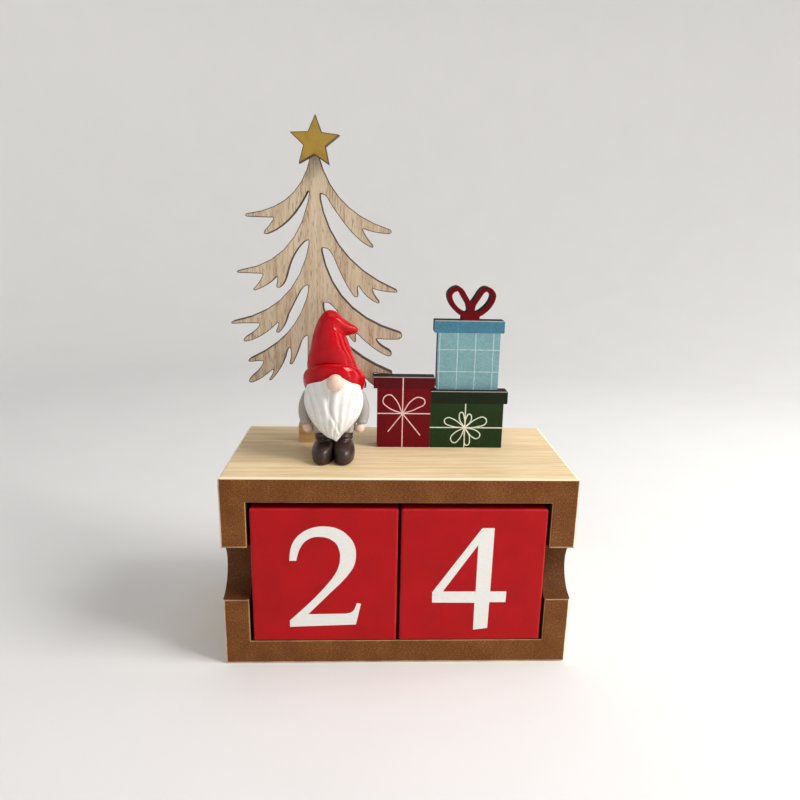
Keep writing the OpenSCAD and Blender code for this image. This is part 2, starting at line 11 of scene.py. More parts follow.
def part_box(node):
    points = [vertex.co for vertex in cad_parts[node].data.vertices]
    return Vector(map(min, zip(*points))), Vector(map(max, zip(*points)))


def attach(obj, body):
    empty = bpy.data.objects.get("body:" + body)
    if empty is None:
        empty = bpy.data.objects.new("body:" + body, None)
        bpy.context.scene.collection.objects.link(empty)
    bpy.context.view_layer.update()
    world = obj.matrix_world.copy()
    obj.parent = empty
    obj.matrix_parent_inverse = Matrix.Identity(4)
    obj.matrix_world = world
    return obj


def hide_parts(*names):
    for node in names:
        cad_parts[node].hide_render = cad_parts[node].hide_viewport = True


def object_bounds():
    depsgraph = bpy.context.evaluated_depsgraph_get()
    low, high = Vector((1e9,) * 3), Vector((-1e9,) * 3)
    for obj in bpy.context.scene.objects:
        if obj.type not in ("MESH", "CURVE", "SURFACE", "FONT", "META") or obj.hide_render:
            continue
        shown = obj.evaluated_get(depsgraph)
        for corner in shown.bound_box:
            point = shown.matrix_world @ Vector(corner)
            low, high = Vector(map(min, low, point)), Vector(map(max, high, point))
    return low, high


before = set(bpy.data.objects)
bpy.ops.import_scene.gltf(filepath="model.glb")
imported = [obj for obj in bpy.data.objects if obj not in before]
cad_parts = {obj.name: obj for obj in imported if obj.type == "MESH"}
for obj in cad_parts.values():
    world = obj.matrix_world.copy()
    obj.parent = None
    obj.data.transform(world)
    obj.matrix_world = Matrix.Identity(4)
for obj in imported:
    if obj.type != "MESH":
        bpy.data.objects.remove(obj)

bl_info = {
    "name": "Block advent calendar",
    "version": (1, 0, 0),
    "blender": (4, 5, 0),
    "location": "3D View > Sidebar > Calendar",
    "description": "Finishes a block advent calendar: case, number cubes, tree, gifts and gnome",
    "category": "Object",
}

MM = 0.001
# Width of the camera's sensor in mm
SENSOR = 36
CAD_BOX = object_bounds()

# Places that the frame gives, in millimetres
LID_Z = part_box("top_board")[1].z / MM
CASE_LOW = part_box("left_board")[0] / MM
CASE_HALF = Vector((-CASE_LOW.x, 0, LID_Z / 2))
GIFT_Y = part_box("red_gift")[0].y / MM
BLUE_LOW, BLUE_HIGH = (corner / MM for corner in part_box("blue_gift"))
RED_LOW, RED_HIGH = (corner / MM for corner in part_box("red_gift"))
GREEN_LOW, GREEN_HIGH = (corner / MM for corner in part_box("green_gift"))
# Boxes of the boots, in metres
LEFT_BOOT, RIGHT_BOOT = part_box("gnome_left_boot"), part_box("gnome_right_boot")


def linear(code):
    """Linear RGB of an sRGB hex colour."""
    values = [int(code[i:i + 2], 16) / 255 for i in (0, 2, 4)]
    return [v / 12.92 if v <= 0.04045 else ((v + 0.055) / 1.055) ** 2.4 for v in values]


def colour(name, code, description):
    """Colour setting with an sRGB hex default."""
    return FloatVectorProperty(name=name, description=description, default=linear(code),
                               subtype="COLOR", size=3, min=0, max=1)


def length(name, size, description):
    """Length setting with a default in millimetres."""
    return FloatProperty(name=name, description=description, default=size * MM, unit="LENGTH", min=0)


def angle(name, degrees, description):
    """Angle setting with a default in degrees."""
    return FloatProperty(name=name, description=description, default=math.radians(degrees), subtype="ANGLE")


class CaseSettings(bpy.types.PropertyGroup):
    """Finish of the four boards and the back."""

    veneer: colour("Veneer", "ecd4ac", "Pale beech of the board faces")
    streak: colour("Streak", "d9bb8c", "Darker growth streaks of the veneer")
    core: colour("Core", "74421b", "Brown fibre of the sawn edges")
    fibre: colour("Fibre", "96682f", "Paler fibres of the sawn edges")
    # Pale sanded edge, and also a painted highlight where the edge faces up
    arris_and_highlight: colour("Arris", "f6e3c2", "Pale line along the outer eased edges")
    pale_edge_line: colour("Rubbed edge", "c8a878", "Duller line round the opening and the notches")
    notch_radius: length("Finger notch", 9.8, "Radius of the finger notches in the front edges")


class CubeSettings(bpy.types.PropertyGroup):
    """Paint and print of the number cubes."""

    paint: colour("Paint", "b1060f", "Matt red of the cubes")
    worn: colour("Worn edge", "c23c42", "Red where the edges are rubbed")
    print: colour("Numerals", "efeee8", "White of the printed numerals")
    print_relief: length("Print relief", 0.04, "Height of the printed ink over the paint")


class TreeSettings(bpy.types.PropertyGroup):
    """Finish of the tree, its star and its foot."""

    ply: colour("Plywood", "d2bfa4", "Face of the plywood")
    ply_streak: colour("Plywood streak", "bba184", "Darker grain of the plywood")
    fleck: colour("Fleck", "6e4a30", "Short dark pores of the plywood")
    burnt: colour("Burnt edge", "47352a", "Edge that the laser has burnt")
    gold: colour("Gold paint", "b2903f", "Gold of the star")
    foot: colour("Foot block", "cfa670", "Wood of the block that holds the trunk")
    scorch: length("Scorch", 0.26, "Width of the burnt line round the faces")


class GiftSettings(bpy.types.PropertyGroup):
    """Prints of the gifts and the bow."""

    red: colour("Red box", "6c0912", "Box of the red gift")
    red_lid: colour("Red lid", "560c12", "Lid of the red gift")
    red_ribbon: colour("Red gift's ribbon", "f7cfca", "Ribbon lines on the red gift")
    green: colour("Green box", "223619", "Box of the green gift")
    green_lid: colour("Green lid", "1b2415", "Lid of the green gift")
    green_ribbon: colour("Green gift's ribbon", "ecefdb", "Ribbon lines on the green gift")
    blue: colour("Blue box", "7da4aa", "Box of the blue gift")
    blue_lid: colour("Blue lid", "477b90", "Lid of the blue gift")
    blue_check: colour("Blue gift's check", "aecbd0", "Check lines on the blue gift")
    bow: colour("Bow", "660610", "Face of the bow")
    # Rubbed paint, and partly a painted highlight along the top front edges of the lids
    pale_edge_line: colour("Rubbed edge", "e1dcda", "Upper front edges of the lids")
    edge: colour("Cut edge", "15110f", "Dark cut edge of the panels")
    line: length("Line width", 0.43, "Width of the printed ribbon lines")
    relief: length("Line relief", 0.06, "Height of the printed lines over the panel")
    check_count: IntProperty(name="Check lines", description="Upright lines of the check", default=4, min=1)
    check_pitch: length("Check pitch", 6.65, "Distance between the upright lines of the check")
    check_rise: length("Check rise", 8.3, "Distance between the level lines of the check")


class GnomeSettings(bpy.types.PropertyGroup):
    """Shape and paint of the cast gnome."""

    hat: colour("Hat", "b80010", "Gloss red of the hat")
    skin: colour("Skin", "e9c8b3", "Nose and hands")
    beard: colour("Beard", "ebeae6", "White of the beard")
    # Grey painted as shade in the grooves of the beard
    beard_groove_shade: colour("Beard wash", "bfbcb5", "Grey left in the grooves of the beard")
    coat: colour("Coat", "a5a19c", "Grey of the coat and sleeves")
    boot: colour("Boots", "38261f", "Brown of the boots")
    brim_foot: length("Brim foot", 23.8, "Height of the brim over the lid at the middle")
    brim_tilt: angle("Brim tilt", 31, "Lean of the brim towards the back")
    brim_width: length("Brim width", 22.2, "Width of the rolled brim")
    brim_height: length("Brim height", 6.6, "Height of the rolled brim")
    arch_height: length("Arch height", 2, "Height of the arch in the brim over the nose")
    arch_width: length("Arch width", 12, "Width of that arch")
    hat_width: length("Hat width", 17.6, "Width of the crown")
    hat_height: length("Hat height", 28.9, "Height of the crown over the brim's foot")
    beard_width: length("Beard width", 21.2, "Width of the beard")
    beard_depth: length("Beard depth", 7.2, "Depth of the beard")
    beard_foot: length("Beard foot", 7.8, "Height of the beard's tip over the lid")
    nose: length("Nose", 6, "Diameter of the nose")
    coat_width: length("Coat width", 15.4, "Width of the coat")
    coat_depth: length("Coat depth", 11, "Depth of the coat")
    sleeve: length("Sleeve", 4.7, "Diameter of the sleeves")
    hand: length("Hand", 3.3, "Diameter of the hands")
    seam: length("Seam", 0.1, "Clearance between the painted pieces")


class StageSettings(bpy.types.PropertyGroup):
    """Floor, light and camera."""

    floor: colour("Floor", "e9e8e7", "Plain pale floor")
    lens: FloatProperty(name="Lens", description="Focal length in millimetres", default=30.08, unit="CAMERA")
    pitch: angle("Pitch", 14.439, "Camera's tilt down")
    yaw: angle("Yaw", 2.482, "Camera's turn to the right")
    roll: angle("Roll", 1.174, "Camera's roll")
    camera_at: FloatVectorProperty(name="Camera", description="Place of the camera", subtype="TRANSLATION",
                                   size=3, default=(-0.00986, -0.23762, 0.15045))


SETTINGS = {"case": CaseSettings, "cubes": CubeSettings, "tree": TreeSettings, "gifts": GiftSettings,
            "gnome": GnomeSettings, "stage": StageSettings}


def settings(group):
    """The scene's settings of one group."""
    return getattr(bpy.context.scene, "calendar_" + group)


# Nodes and materials

SHADER = "Principled BSDF"
# Sockets of the two colours of a Mix node
COLOUR_A, COLOUR_B = 6, 7
# Eased edge of the finger notches and half the width of the line along it, in mm
NOTCH_EASE = 0.25
NOTCH_LINE = 0.2
# Depth under the outer faces of the case at which its inside, painted dark as shade, starts, in mm
CASE_SKIN = 2


def fill(tree, node, inputs):
    """Fill a node's sockets with values or links; a node stands for its first output in use."""
    for key, value in inputs.items():
        socket = node.inputs[key]
        if isinstance(value, bpy.types.Node):
            value = next(output for output in value.outputs if output.enabled)
        if isinstance(value, bpy.types.NodeSocket):
            tree.links.new(value, socket)
        elif socket.type == "RGBA":
            socket.default_value = (*value, 1)
        else:
            socket.default_value = value


def add(tree, kind, inputs=None, stops=(), **options):
    """Add one node with its options, its filled sockets and a ramp's stops."""
    node = tree.nodes.new(kind)
    for name, value in options.items():
        setattr(node, name, value)
    fill(tree, node, inputs or {})
    if stops:
        ramp = node.color_ramp.elements
        while len(ramp) < len(stops):
            ramp.new(1)
        for stop, (place, value) in zip(ramp, stops):
            stop.position = place
            stop.color = (*value, 1)
    return node


def per(size):
    """Scale of a texture whose features are this many millimetres wide."""
    return 1 / (size * MM)


def shade(value, factor):
    """A colour made darker or lighter."""
    return [min(1, channel * factor) for channel in value]


def drawn_out(axis, times):
    """Mapping scale that draws a pattern out along one axis."""
    return [1 / times if k == axis else 1 for k in range(3)]


def new_material(name, shine):
    """A node material with this much shine, its tree, and the piece's own coordinates."""
    material = bpy.data.materials.new(name)
    material.use_nodes = True
    tree = material.node_tree
    fill(tree, tree.nodes[SHADER], {"Specular IOR Level": shine})
    return material, tree, add(tree, "ShaderNodeTexCoord").outputs["Object"]


def cover(material, base, roughness, height, depth, metal=0):
    """Finish a material: colour, roughness range over a height pattern, bump of a depth in mm, metal."""
    tree = material.node_tree
    smooth, rough = roughness
    gloss = add(tree, "ShaderNodeMapRange", {"Value": height, "To Min": smooth, "To Max": rough})
    bump = add(tree, "ShaderNodeBump", {"Height": height, "Distance": depth * MM, "Strength": 1})
    fill(tree, tree.nodes[SHADER],
         {"Base Color": base, "Roughness": gloss, "Normal": bump, "Metallic": metal})
    return material


def mottled(tree, spot, size, detail, *stops):
    """A cloudy pattern with features of this size in mm, and its colours."""
    pattern = add(tree, "ShaderNodeTexNoise", {"Vector": spot, "Scale": per(size), "Detail": detail})
    return pattern, add(tree, "ShaderNodeValToRGB", {"Fac": pattern}, stops=stops)


def layered(tree, base, *layers):
    """A base colour under layers, each with the share that it covers and its colour."""
    for share, value in layers:
        base = add(tree, "ShaderNodeMix", {0: share, COLOUR_A: base, COLOUR_B: value}, data_type="RGBA")
    return base


def wood_grain(tree, spot, axis, width, light, dark):
    """Colour and height of planed wood: streaks of this width in mm along one axis, and fine pores."""
    grain = add(tree, "ShaderNodeMapping", {"Vector": spot, "Scale": drawn_out(axis, 24)})
    streak = add(tree, "ShaderNodeTexNoise",
                 {"Vector": grain, "Scale": per(width), "Detail": 4, "Distortion": 0.4})
    tone = add(tree, "ShaderNodeValToRGB", {"Fac": streak}, stops=[(0.3, dark), (0.58, light)])
    pores = add(tree, "ShaderNodeTexNoise",
                {"Vector": grain, "Scale": per(width / 5), "Detail": 2, "Roughness": 0.7})
    fine = add(tree, "ShaderNodeMapRange",
               {"Value": pores, "From Min": 0.3, "From Max": 0.6, "To Min": 0.88, "To Max": 1.02})
    drift = add(tree, "ShaderNodeTexNoise", {"Vector": spot, "Scale": per(22), "Detail": 1})
    broad = add(tree, "ShaderNodeMapRange",
                {"Value": drift, "From Min": 0.3, "From Max": 0.7, "To Min": 0.94, "To Max": 1.03})
    both = add(tree, "ShaderNodeMath", {0: fine, 1: broad}, operation="MULTIPLY")
    return add(tree, "ShaderNodeVectorMath", {0: tone, "Scale": both}, operation="SCALE"), pores


def normal_parts(tree):
    """Outputs with the sizes of the surface normal's parts along the piece's axes."""
    normal = add(tree, "ShaderNodeTexCoord").outputs["Normal"]
    sizes = add(tree, "ShaderNodeVectorMath", {0: normal}, operation="ABSOLUTE")
    return add(tree, "ShaderNodeSeparateXYZ", {"Vector": sizes}).outputs


def flat_face(tree, low=0.4):
    """1 on the front and the back of a board or sheet, 0 where it faces along Y by less than low."""
    along_y = normal_parts(tree)["Y"]
    return add(tree, "ShaderNodeMapRange", {"Value": along_y, "From Min": low, "From Max": 0.7},
               interpolation_type="SMOOTHSTEP")


def eased_edge(tree, low, high):
    """1 where a rounded edge turns from every axis by more than high, 0 where by less than low."""
    x, y, z = normal_parts(tree)
    pair = add(tree, "ShaderNodeMath", {0: x, 1: y}, operation="MAXIMUM")
    most = add(tree, "ShaderNodeMath", {0: pair, 1: z}, operation="MAXIMUM")
    return add(tree, "ShaderNodeMapRange", {"Value": most, "From Min": 1 - low, "From Max": 1 - high},
               interpolation_type="SMOOTHSTEP")


def notch_reach(tree, spot):
    """Distance from the axis of the finger notches."""
    axis = (0, -CASE_LOW.y * MM, -CASE_HALF.z * MM)
    centred = add(tree, "ShaderNodeMapping", {"Vector": spot, "Location": axis, "Scale": (0, 1, 1)})
    return add(tree, "ShaderNodeVectorMath", {0: centred}, operation="LENGTH")


def case_zones(tree, spot):
    """1 on the walls of the compartment, and 1 on the glue line of each mitre."""
    level = add(tree, "ShaderNodeMapping", {"Vector": spot, "Location": (0, 0, -CASE_HALF.z * MM)})
    folded = add(tree, "ShaderNodeVectorMath", {0: level}, operation="ABSOLUTE")
    parts = add(tree, "ShaderNodeSeparateXYZ", {"Vector": folded}).outputs
    sunk, under = (add(tree, "ShaderNodeMath", {0: part, 1: (half - CASE_SKIN) * MM}, operation="LESS_THAN")
                   for part, half in ((parts["X"], CASE_HALF.x), (parts["Z"], CASE_HALF.z)))
    inside = add(tree, "ShaderNodeMath", {0: sunk, 1: under}, operation="MULTIPLY")
    # A point of a mitre is as far from the side as from the lid or the floor
    apart = add(tree, "ShaderNodeMath", {0: parts["X"], 1: parts["Z"]}, operation="SUBTRACT")
    mitre = add(tree, "ShaderNodeMath", {0: apart, 1: (CASE_HALF.x - CASE_HALF.z) * MM, 2: 0.1 * MM},
                operation="COMPARE")
    return inside, mitre


def veneered_fibreboard(name, axis):
    """Fibreboard with a beech veneer: streaked pale faces, brown furry sawn edges, pale sanded arrises with a
    painted highlight where they face up, and painted shade inside the compartment and the notches.
    """
    case = settings("case")
    material, tree, spot = new_material(name, 0.2)
    veneer, pores = wood_grain(tree, spot, axis, 1.6, case.veneer, case.streak)
    # Fibres 0.35 mm wide and twice as long, and faint clouds of 7 mm
    laid = add(tree, "ShaderNodeMapping", {"Vector": spot, "Scale": drawn_out(axis, 2)})
    fibres = add(tree, "ShaderNodeTexNoise",
                 {"Vector": laid, "Scale": per(0.35), "Detail": 3, "Roughness": 0.75})
    clouds = add(tree, "ShaderNodeTexNoise", {"Vector": spot, "Scale": per(7), "Detail": 3})
    furry = add(tree, "ShaderNodeMath", {0: clouds, 1: 0.2, 2: fibres}, operation="MULTIPLY_ADD")
    core = add(tree, "ShaderNodeValToRGB", {"Fac": furry},
               stops=[(0.44, shade(case.core, 0.55)), (0.61, case.core), (0.78, case.fibre)])
    # The walls of the finger notches show the same fibre, darkened as painted shade
    reach = notch_reach(tree, spot)
    rim = case.notch_radius + NOTCH_EASE * MM
    notch = add(tree, "ShaderNodeMath", {0: reach, 1: rim}, operation="LESS_THAN")
    notch_shade = add(tree, "ShaderNodeMapRange", {"Value": notch, "To Min": 1, "To Max": 0.6})
    core_with_notch_shade = add(tree, "ShaderNodeVectorMath", {0: core, "Scale": notch_shade}, operation="SCALE")
    sawn = flat_face(tree, 0.3)
    bare = add(tree, "ShaderNodeMath", {0: sawn, 1: notch}, operation="MAXIMUM")
    # The walls of the compartment are painted dark as shade, and the glue of the mitres is dark too
    shade_and_glue_dark = shade(case.core, 0.3)
    inside, mitre = case_zones(tree, spot)
    glue = add(tree, "ShaderNodeMath", {0: mitre, 1: 0.55}, operation="MULTIPLY")
    # Thin dull lines round the opening and round the finger notches
    patchy = add(tree, "ShaderNodeMapRange",
                 {"Value": clouds, "From Min": 0.25, "From Max": 0.6, "To Min": 0.35, "To Max": 0.85})
    near = add(tree, "ShaderNodeMath", {0: reach, 1: rim, 2: NOTCH_LINE * MM}, operation="COMPARE")
    round_notch = add(tree, "ShaderNodeMath", {0: near, 1: sawn}, operation="MULTIPLY")
    turned = add(tree, "ShaderNodeMath", {0: eased_edge(tree, 0.13, 0.25), 1: notch}, operation="SUBTRACT",
                 use_clamp=True)
    lines = add(tree, "ShaderNodeMath", {0: turned, 1: round_notch}, operation="MAXIMUM")
    dull = add(tree, "ShaderNodeMath", {0: lines, 1: patchy}, operation="MULTIPLY")
    # Wide pale lines along the outer edges: patchy sanded wood, and unbroken where the edge faces up along
    # the lid, a painted highlight
    normal = add(tree, "ShaderNodeTexCoord").outputs["Normal"]
    upward = add(tree, "ShaderNodeSeparateXYZ", {"Vector": normal}).outputs["Z"]
    # Edges that face up get the whole pale line, as a painted highlight
    lid = add(tree, "ShaderNodeMapRange", {"Value": upward, "From Min": 0.12, "From Max": 0.35})
    highlight_and_wear = add(tree, "ShaderNodeMath", {0: lid, 1: patchy}, operation="MAXIMUM")
    hidden = add(tree, "ShaderNodeMath", {0: inside, 1: notch}, operation="MAXIMUM")
    outer = add(tree, "ShaderNodeMath", {0: eased_edge(tree, 0.01, 0.07), 1: hidden}, operation="SUBTRACT",
                use_clamp=True)
    pale = add(tree, "ShaderNodeMath", {0: outer, 1: highlight_and_wear}, operation="MULTIPLY")
    wood = layered(tree, veneer, (inside, shade_and_glue_dark), (bare, core_with_notch_shade), (glue, shade_and_glue_dark), (dull, case.pale_edge_line),
                   (pale, case.arris_and_highlight))
    relief = add(tree, "ShaderNodeMix", {0: bare, 2: pores, 3: fibres})
    return cover(material, wood, (0.55, 0.75), relief, 0.05)


def cube_paint():
    """Matt red paint sprayed on beech: a soft stipple, rubbed pale edges and a few pale flecks."""
    cubes = settings("cubes")
    material, tree, spot = new_material("matt_red_paint", 0.18)
    stipple = add(tree, "ShaderNodeTexNoise", {"Vector": spot, "Scale": per(0.5), "Detail": 2})
    cloud, tone = mottled(tree, spot, 9, 3, (0.3, shade(cubes.paint, 0.9)), (0.55, cubes.paint),
                          (0.75, shade(cubes.paint, 1.08)))
    dust = add(tree, "ShaderNodeTexVoronoi", {"Vector": spot, "Scale": per(2.4)})
    fleck = add(tree, "ShaderNodeMapRange", {"Value": dust, "From Min": 0.05, "From Max": 0.03})
    chips = add(tree, "ShaderNodeMapRange",
                {"Value": cloud, "From Min": 0.4, "From Max": 0.65, "To Min": 0.1, "To Max": 0.5})
    worn = add(tree, "ShaderNodeMath", {0: eased_edge(tree, 0.04, 0.25), 1: chips}, operation="MULTIPLY")
    pale = add(tree, "ShaderNodeMath", {0: fleck, 1: 0.45, 2: worn}, operation="MULTIPLY_ADD",
               use_clamp=True)
    return cover(material, layered(tree, tone, (pale, cubes.worn)), (0.48, 0.62), stipple, 0.03)


def numeral_ink():
    """White screen ink: thin, with pinholes that let a little red through."""
    cubes = settings("cubes")
    material, tree, spot = new_material("white_screen_ink", 0.3)
    marks, tone = mottled(tree, spot, 0.6, 3, (0.3, shade(cubes.print, 0.95)), (0.6, cubes.print))
    holes = add(tree, "ShaderNodeTexVoronoi", {"Vector": spot, "Scale": per(1.6)})
    pinhole = add(tree, "ShaderNodeMapRange",
                  {"Value": holes, "From Min": 0.07, "From Max": 0.04, "To Max": 0.5})
    return cover(material, layered(tree, tone, (pinhole, cubes.worn)), (0.42, 0.55), marks, 0.02)


def laser_cut_ply():
    """Plywood cut by laser: greyish upright grain with short dark pores, and a burnt edge."""
    look = settings("tree")
    material, tree, spot = new_material("laser_cut_plywood", 0.25)
    grain, pores = wood_grain(tree, spot, 2, 1.5, look.ply, look.ply_streak)
    # Dark pores 0.32 mm wide and ten times as long, denser in bands of 6 mm
    upright = add(tree, "ShaderNodeMapping", {"Vector": spot, "Scale": drawn_out(2, 10)})
    rays = add(tree, "ShaderNodeTexNoise", {"Vector": upright, "Scale": per(0.32), "Detail": 1})
    bands = add(tree, "ShaderNodeTexNoise", {"Vector": upright, "Scale": per(6), "Detail": 2})
    dense = add(tree, "ShaderNodeMath", {0: bands, 1: 0.3, 2: rays}, operation="MULTIPLY_ADD")
    fleck = add(tree, "ShaderNodeMapRange",
                {"Value": dense, "From Min": 0.7, "From Max": 0.88, "To Max": 0.65})
    char = mottled(tree, spot, 1.2, 2, (0.3, shade(look.burnt, 0.6)), (0.7, shade(look.burnt, 1.3)))[1]
    face = layered(tree, grain, (fleck, look.fleck))
    return cover(material, layered(tree, char, (flat_face(tree), face)), (0.55, 0.75), pores, 0.04)


def scorched_wood():
    """Scorched line beside a laser cut: dark brown, paler where the beam was quick."""
    burnt = settings("tree").burnt
    material, tree, spot = new_material("scorched_wood", 0.2)
    soot, tone = mottled(tree, spot, 2.5, 3, (0.35, burnt), (0.7, shade(burnt, 2)))
    return cover(material, tone, (0.6, 0.8), soot, 0.01)


def gold_star_paint():
    """Gold paint on a laser-cut star: fine metal flakes on the faces and a burnt edge."""
    look = settings("tree")
    material, tree, spot = new_material("gold_flake_paint", 0.4)
    flakes = add(tree, "ShaderNodeTexNoise", {"Vector": spot, "Scale": per(0.35), "Detail": 2})
    pools = add(tree, "ShaderNodeTexNoise", {"Vector": spot, "Scale": per(4), "Detail": 1})
    mixed = add(tree, "ShaderNodeMath", {0: flakes, 1: pools}, operation="ADD")
    tone = add(tree, "ShaderNodeValToRGB", {"Fac": mixed},
               stops=[(0.75, shade(look.gold, 0.75)), (1, look.gold)])
    face = flat_face(tree)
    metal = add(tree, "ShaderNodeMath", {0: face, 1: 0.55}, operation="MULTIPLY")
    paint = layered(tree, shade(look.burnt, 0.8), (face, tone))
    return cover(material, paint, (0.38, 0.55), flakes, 0.03, metal)


def foot_wood():
    """Waxed pine block: warm grain along its length."""
    pine = settings("tree").foot
    material, tree, spot = new_material("waxed_pine", 0.4)
    grain, pores = wood_grain(tree, spot, 0, 1.8, pine, shade(pine, 0.72))
    return cover(material, grain, (0.4, 0.6), pores, 0.04)


def printed_panel(name, body, lid, top, lid_height):
    """Painted panel of a gift: a canvas-like print, a darker lid with a pale front edge, dark cut sides."""
    gifts = settings("gifts")
    material, tree, spot = new_material(name, 0.12)
    # Print grain of half a millimetre, with soft clouds of 5 mm
    weave = add(tree, "ShaderNodeTexNoise",
                {"Vector": spot, "Scale": per(0.5), "Detail": 2, "Roughness": 0.7})
    cloud = add(tree, "ShaderNodeTexNoise", {"Vector": spot, "Scale": per(5), "Detail": 3})
    mottle = add(tree, "ShaderNodeMath", {0: cloud, 1: 0.3, 2: weave}, operation="MULTIPLY_ADD")
    body_tone, lid_tone = (add(tree, "ShaderNodeValToRGB", {"Fac": mottle},
                               stops=[(0.45, shade(paint, 0.84)), (0.65, paint), (0.85, shade(paint, 1.16))])
                           for paint in (body, lid))
    height = add(tree, "ShaderNodeSeparateXYZ", {"Vector": spot}).outputs["Z"]
    in_lid = add(tree, "ShaderNodeMath", {0: height, 1: (top - lid_height) * MM}, operation="GREATER_THAN")
    # The lid is paler from 0.4 mm under its top on: paint rubbed off, with a painted highlight along the top
    # edge
    rim = add(tree, "ShaderNodeMapRange", {"Value": height, "From Min": (top - 0.4) * MM,
                                           "From Max": (top - 0.15) * MM, "To Max": 0.55})
    front = layered(tree, body_tone, (in_lid, lid_tone), (rim, gifts.pale_edge_line))
    return cover(material, layered(tree, gifts.edge, (flat_face(tree), front)), (0.5, 0.68), weave, 0.04)


def bow_paint():
    """Satin wine paint on the sawn bow, with dark cut sides."""
    wine = settings("gifts").bow
    material, tree, spot = new_material("satin_wine_paint", 0.1)
    brush, tone = mottled(tree, spot, 0.8, 3, (0.3, shade(wine, 0.75)), (0.7, shade(wine, 1.2)))
    paint = layered(tree, shade(wine, 0.12), (flat_face(tree), tone))
    return cover(material, paint, (0.62, 0.75), brush, 0.03)


def ribbon_ink(name, ink):
    """Pale paint pen: opaque, and a little uneven along a stroke."""
    material, tree, spot = new_material(name, 0.3)
    flow, tone = mottled(tree, spot, 1.1, 2, (0.3, shade(ink, 0.78)), (0.6, ink))
    return cover(material, tone, (0.4, 0.55), flow, 0.02)


def cast_gloss(name, paint, roughness, shine, groove_shade=None):
    """Gloss paint on cast resin: clean highlights, slight brush marks, and grey painted shade in the grooves.
    """
    material, tree, spot = new_material(name, shine)
    base = mottled(tree, spot, 3, 2, (0.3, shade(paint, 0.9)), (0.6, paint))[1]
    if groove_shade:
        groove = add(tree, "ShaderNodeAttribute", attribute_name="groove").outputs["Fac"]
        base = layered(tree, base, (groove, groove_shade))
    brush = add(tree, "ShaderNodeTexNoise", {"Vector": spot, "Scale": per(1.4), "Detail": 2})
    return cover(material, base, (roughness, roughness + 0.06), brush, 0.008)


def bright_steel():
    """Drawn steel wire of the pins and brads: bright, with fine duller specks."""
    material, tree, spot = new_material("drawn_steel", 0.5)
    specks, tone = mottled(tree, spot, 0.3, 2, (0.3, linear("8c8d8f")), (0.7, linear("c9cacc")))
    return cover(material, tone, (0.25, 0.4), specks, 0.01, metal=1)


def pale_paper():
    """Matt paper of the studio floor, with faint clouds of 40 mm."""
    pale = settings("stage").floor
    material, tree, spot = new_material("pale_floor", 0.3)
    tone = mottled(tree, spot, 40, 2, (0.3, shade(pale, 0.985)), (0.7, pale))[1]
    fill(tree, tree.nodes[SHADER], {"Base Color": tone, "Roughness": 0.8})
    return material


# Meshes


def finish(node, material):
    """Give a CAD node its material."""
    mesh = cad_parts[node].data
    mesh.materials.clear()
    mesh.materials.append(material)


def placed(name, data):
    """New object in the scene."""
    made = bpy.data.objects.new(name, data)
    bpy.context.scene.collection.objects.link(made)
    return made


def baked(form, name):
    """Plain mesh of a bmesh form, which is then freed."""
    mesh = bpy.data.meshes.new(name)
    form.to_mesh(mesh)
    form.free()
    return mesh


def piece(name, mesh, material, body, slot, *replaced, smooth=True):
    """Make a finished mesh a piece of the object that rides on a body."""
    mesh.name = name
    mesh.materials.clear()
    mesh.materials.append(material)
    for polygon in mesh.polygons:
        polygon.use_smooth = smooth
    made = placed(name, mesh)
    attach(made, body)
    if replaced:
        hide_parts(*replaced)


def four_round(rows, i):
    """Two rows on each side of stretch i of a curve, with the end rows repeated."""
    return [rows[min(max(i + k, 0), len(rows) - 1)] for k in (-1, 0, 1, 2)]


def between(four, t):
    """Row at t on the smooth curve between the middle two of four rows."""
    return [q + 0.5 * t * (r - p + t * (2 * p - 5 * q + 4 * r - s + t * (3 * (q - r) + s - p)))
            for p, q, r, s in zip(*four)]


def through(rows, steps):
    """Rows of numbers with more rows between them, on a smooth curve through all of them."""
    stretches = [four_round(rows, i) for i in range(len(rows) - 1)]
    return [between(four, k / steps) for four in stretches for k in range(steps)] + [list(rows[-1])]


def table_at(table, t):
    """Values of a table whose rows start with t, on a smooth curve through its rows."""
    i = max(k for k in range(len(table) - 1) if table[k][0] <= t or k == 0)
    four = four_round(table, i)
    return between(four, (t - four[1][0]) / (four[2][0] - four[1][0]))[1:]


def loft(rings, grooves=None):
    """Closed mesh over rings of equal length, in millimetres over the gnome's place on the lid."""
    form = bmesh.new()
    rows = [[form.verts.new(GNOME_AT + Vector(p) * MM) for p in points] for points in rings]
    count = len(rings[0])
    for low, high in zip(rows, rows[1:]):
        for i in range(count):
            j = (i + 1) % count
            form.faces.new((low[i], low[j], high[j], high[i]))
    form.faces.new(rows[0])
    form.faces.new(rows[-1])
    bmesh.ops.recalc_face_normals(form, faces=form.faces)
    mesh = baked(form, "loft")
    if grooves:
        layer = mesh.attributes.new("groove", "FLOAT", "POINT")
        layer.data.foreach_set("value", [value for row in grooves for value in row])
    return mesh


def turns(count):
    """Angles of this many points round a circle."""
    return [2 * math.pi * i / count for i in range(count)]


def ring(centre, u, v, count):
    """Points of an ellipse with the half axes u and v."""
    return [Vector(centre) + Vector(u) * math.cos(a) + Vector(v) * math.sin(a) for a in turns(count)]


def evaluated(source):
    """Plain mesh of an object with its modifiers, which is then removed."""
    graph = bpy.context.evaluated_depsgraph_get()
    mesh = bpy.data.meshes.new_from_object(source.evaluated_get(graph))
    data = source.data
    bpy.data.objects.remove(source)
    if isinstance(data, bpy.types.Curve):
        bpy.data.curves.remove(data)
    else:
        bpy.data.meshes.remove(data)
    return mesh


# Heel of the boots behind the middle of the gnome, in mm
HEEL_Y = 3.2
GNOME_AT = Vector(((LEFT_BOOT[1].x + RIGHT_BOOT[0].x) / 2, LEFT_BOOT[1].y - HEEL_Y * MM, LID_Z * MM))

